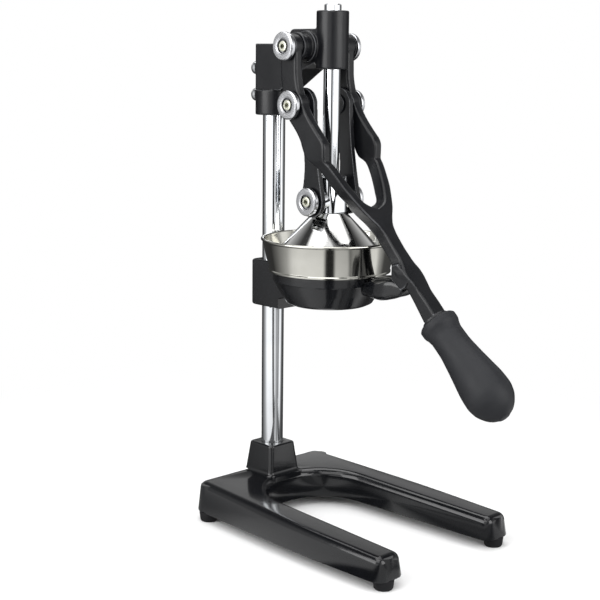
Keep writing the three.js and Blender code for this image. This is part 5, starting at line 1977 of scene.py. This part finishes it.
@dataclass
class Studio:
    """Camera, lamps, world and floor.

    The panels are degrees round the press and brightness, the canopy height and brightness,
    and the lamps name, place, size in metres and watts.
    """

    azimuth: float = 44.11
    pitch: float = 10.47
    roll: float = 0.57
    distance: float = 1444.8
    aim_right: float = -31.52
    aim_up: float = 6.51
    lens: float = 79.34
    floor_colour: int = 0xF4F4F4
    floor_reach: float = 2.6
    near: float = 0.3
    far: float = 0.75
    panels: tuple[Point2, ...] = (
        (-172, 0.05), (-128, 0.06), (-112, 0.25), (-98, 0.5), (-86, 0.75), (-74, 1.35), (-62, 1.55),
        (-13, 1.5), (-7, 0.04), (6, 0.04), (11, 1.1), (33, 0.95), (38, 0.28), (44, 0.55),
        (56, 0.55), (60, 0.25), (66, 0.3), (76, 1.0), (84, 1.5), (94, 1.5), (102, 0.7), (118, 0.12),
        (172, 0.05),
    )
    canopy: tuple[Point2, ...] = (
        (0.3, 0.75), (0.45, 0.5), (0.58, 0.3), (0.67, 0.14), (0.73, 0.05), (0.82, 0.06),
        (0.865, 1.9), (1.0, 1.9),
    )

    lamps: tuple[tuple[str, Point3, float, float], ...] = (
        ("key", (-900, -500, 1300), 1.2, 11.0), ("top", (200, 300, 1600), 1.3, 11.0),
        ("left", (-1455, 366, 760), 1.1, 15.0), ("right", (180, -1490, 760), 1.1, 15.0),
    )

    aim_height: float = 250.0
    lamp_aim: float = 260.0

    def camera(self) -> None:
        """Stands the camera where the photograph was taken."""
        a, p, r = (math.radians(v) for v in (self.azimuth, self.pitch, self.roll))
        right = Vector((math.cos(a), -math.sin(a), 0))
        ahead = Vector((math.sin(a) * math.cos(p), math.cos(a) * math.cos(p), -math.sin(p)))
        up = right.cross(ahead)
        target = Vector((0, 0, self.aim_height)) + right * self.aim_right + up * self.aim_up
        side = right * math.cos(r) + up * math.sin(r)
        top = up * math.cos(r) - right * math.sin(r)
        matrix = Matrix((side, top, -ahead)).transposed().to_4x4()
        matrix.translation = place(target - ahead * self.distance)
        lens = bpy.data.cameras.new("camera")
        lens.lens = self.lens
        lens.sensor_width = 36.0
        lens.clip_end = 30.0
        made = add_object("camera", lens)
        made.matrix_world = matrix
        bpy.context.scene.camera = made

    def lamp(self, name: str, spot: Point3, size: float, power: float) -> None:
        """Hangs one soft lamp that points at the press.

        Args:
            name: Its name.
            spot: Where it hangs, in millimetres.
            size: Side of its square in metres.
            power: Its power in watts.
        """
        data = bpy.data.lights.new(name, "AREA")
        data.shape = "SQUARE"
        data.size = size
        data.energy = power
        lamp = add_object(name, data)
        lamp.location = place(spot)
        look = Vector(place((0, 0, self.lamp_aim))) - lamp.location
        lamp.rotation_euler = look.to_track_quat("-Z", "Y").to_euler()
        lamp.visible_camera = False

    def surround(self, tree: Tree, direction: Socket | Node, rear: float) -> Node:
        """Adds the ring of bright panels and dark gaps that polished metal mirrors.

        Args:
            tree: The tree that takes the nodes.
            direction: A direction or place seen from the press.
            rear: Brightness straight behind the press.

        Returns:
            The colour ramp that gives the brightness in that direction.
        """
        turn = {"Vector": direction, "Rotation": (0.0, 0.0, math.radians(self.azimuth + 90))}
        turned = add_node(tree, "ShaderNodeMapping", inputs=turn)
        x, y, _ = add_node(tree, "ShaderNodeSeparateXYZ", inputs={0: turned}).outputs
        angle = add_node(tree, "ShaderNodeMath", {"operation": "ARCTAN2"}, {0: y, 1: x})
        ends = {"Value": angle, "From Min": -math.pi, "From Max": math.pi}
        share = add_node(tree, "ShaderNodeMapRange", inputs=ends)
        stops = [((degrees + 180) / 360, value) for degrees, value in self.panels]
        stops = [(0.0, rear), (0.012, rear), *stops, (0.988, rear), (1.0, rear)]
        return add_node(tree, "ShaderNodeValToRGB", inputs={0: share}, stops=stops)

    def world(self) -> None:
        """White behind the press, soft light all round, and the panels for polished metal."""
        made = bpy.data.worlds.new("studio")
        bpy.context.scene.world = made
        tree = blank_tree(made)
        direction = add_node(tree, "ShaderNodeTexCoord").outputs["Generated"]
        height = add_node(tree, "ShaderNodeSeparateXYZ", inputs={0: direction}).outputs[2]
        smooth = {"interpolation_type": "SMOOTHSTEP"}
        ends = {"Value": height, "From Min": 0.22, "From Max": 0.36}
        overhead = add_node(tree, "ShaderNodeMapRange", smooth, ends)
        panels = self.surround(tree, direction, 0.05)
        canopy = add_node(tree, "ShaderNodeValToRGB", inputs={0: height}, stops=self.canopy)
        colours = {0: overhead, 6: panels, 7: canopy}
        sky = add_node(tree, "ShaderNodeMix", {"data_type": "RGBA"}, colours).outputs[2]
        rays = add_node(tree, "ShaderNodeLightPath").outputs
        white = (1.0, 1.0, 1.0, 1.0)
        mirrored, plain, soft = (
            add_node(tree, "ShaderNodeBackground", inputs={0: colour, 1: strength})
            for colour, strength in ((sky, 1.0), (white, 1.0), (white, 0.5))
        )
        result = soft
        for ray, shown in (("Is Glossy Ray", mirrored), ("Is Camera Ray", plain)):
            parts = {0: rays[ray], 1: result, 2: shown}
            result = add_node(tree, "ShaderNodeMixShader", inputs=parts)
        add_node(tree, "ShaderNodeOutputWorld", inputs={0: result})

    def floor(self) -> None:
        """A plain pale floor that keeps the shadow near the press and fades to white."""
        mesh = bpy.data.meshes.new("floor")
        reach = self.floor_reach
        corners = [(-reach, -reach, 0), (reach, -reach, 0), (reach, reach, 0), (-reach, reach, 0)]
        mesh.from_pydata(corners, [], [(0, 1, 2, 3)])
        material = bpy.data.materials.new("pale floor")
        tree = blank_tree(material)
        point = add_node(tree, "ShaderNodeTexCoord").outputs["Object"]
        shift = {"Vector": point, "Location": (0.0, -AXIS_Y, 0.0)}
        local = add_node(tree, "ShaderNodeMapping", inputs=shift)
        length = {"operation": "LENGTH"}
        distance = add_node(tree, "ShaderNodeVectorMath", length, {0: local}).outputs["Value"]
        fade = {"Value": distance, "From Min": self.near, "From Max": self.far}
        smooth = {"interpolation_type": "SMOOTHSTEP"}
        away = add_node(tree, "ShaderNodeMapRange", smooth, fade)
        pale = {"Base Color": linear(self.floor_colour), "Roughness": 0.8}
        pale["Specular IOR Level"] = 0.1
        lit = add_node(tree, "ShaderNodeBsdfPrincipled", inputs=pale)
        rays = add_node(tree, "ShaderNodeLightPath").outputs
        rise = {"From Min": 0.2, "From Max": 0.45, "To Min": 0.7, "To Max": 0.9}
        glow = add_node(tree, "ShaderNodeMapRange", inputs={"Value": distance, **rise})
        panels, white = (
            add_node(tree, "ShaderNodeEmission", inputs={0: colour, 1: strength})
            for colour, strength in (
                (self.surround(tree, local, 1.0), glow), ((1.0, 1.0, 1.0, 1.0), 1.0),
            )
        )
        parts = {0: away, 1: rays["Is Camera Ray"]}
        seen = add_node(tree, "ShaderNodeMath", {"operation": "MULTIPLY"}, parts)
        result = lit
        for share, shown in ((seen, white), (rays["Is Glossy Ray"], panels)):
            parts = {0: share, 1: result, 2: shown}
            result = add_node(tree, "ShaderNodeMixShader", inputs=parts)
        add_node(tree, "ShaderNodeOutputMaterial", inputs={0: result})
        made = add_object("floor", mesh)
        made.data.materials.append(material)

    def build(self) -> None:
        """Sets the stage."""
        self.camera()
        self.floor()
        self.world()
        for lamp in self.lamps:
            self.lamp(*lamp)


def dress_column_bolt() -> None:
    """Gives the hidden column bolt, kept from the frame, its finish."""
    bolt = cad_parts["column_bolt"]
    bolt.data.materials.clear()
    bolt.data.materials.append(ZINC.material())


def main() -> None:
    """Builds the press and its stage."""
    logging.basicConfig(level=logging.INFO, format="%(message)s")
    bpy.context.scene.view_settings.view_transform = "Standard"
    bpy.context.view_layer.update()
    for part in (Studio, Base, Column, Head, Holder, Bowl, Plunger, Links, Lever):
        part().build()
    dress_column_bolt()


if __name__ == "__main__":
    main()
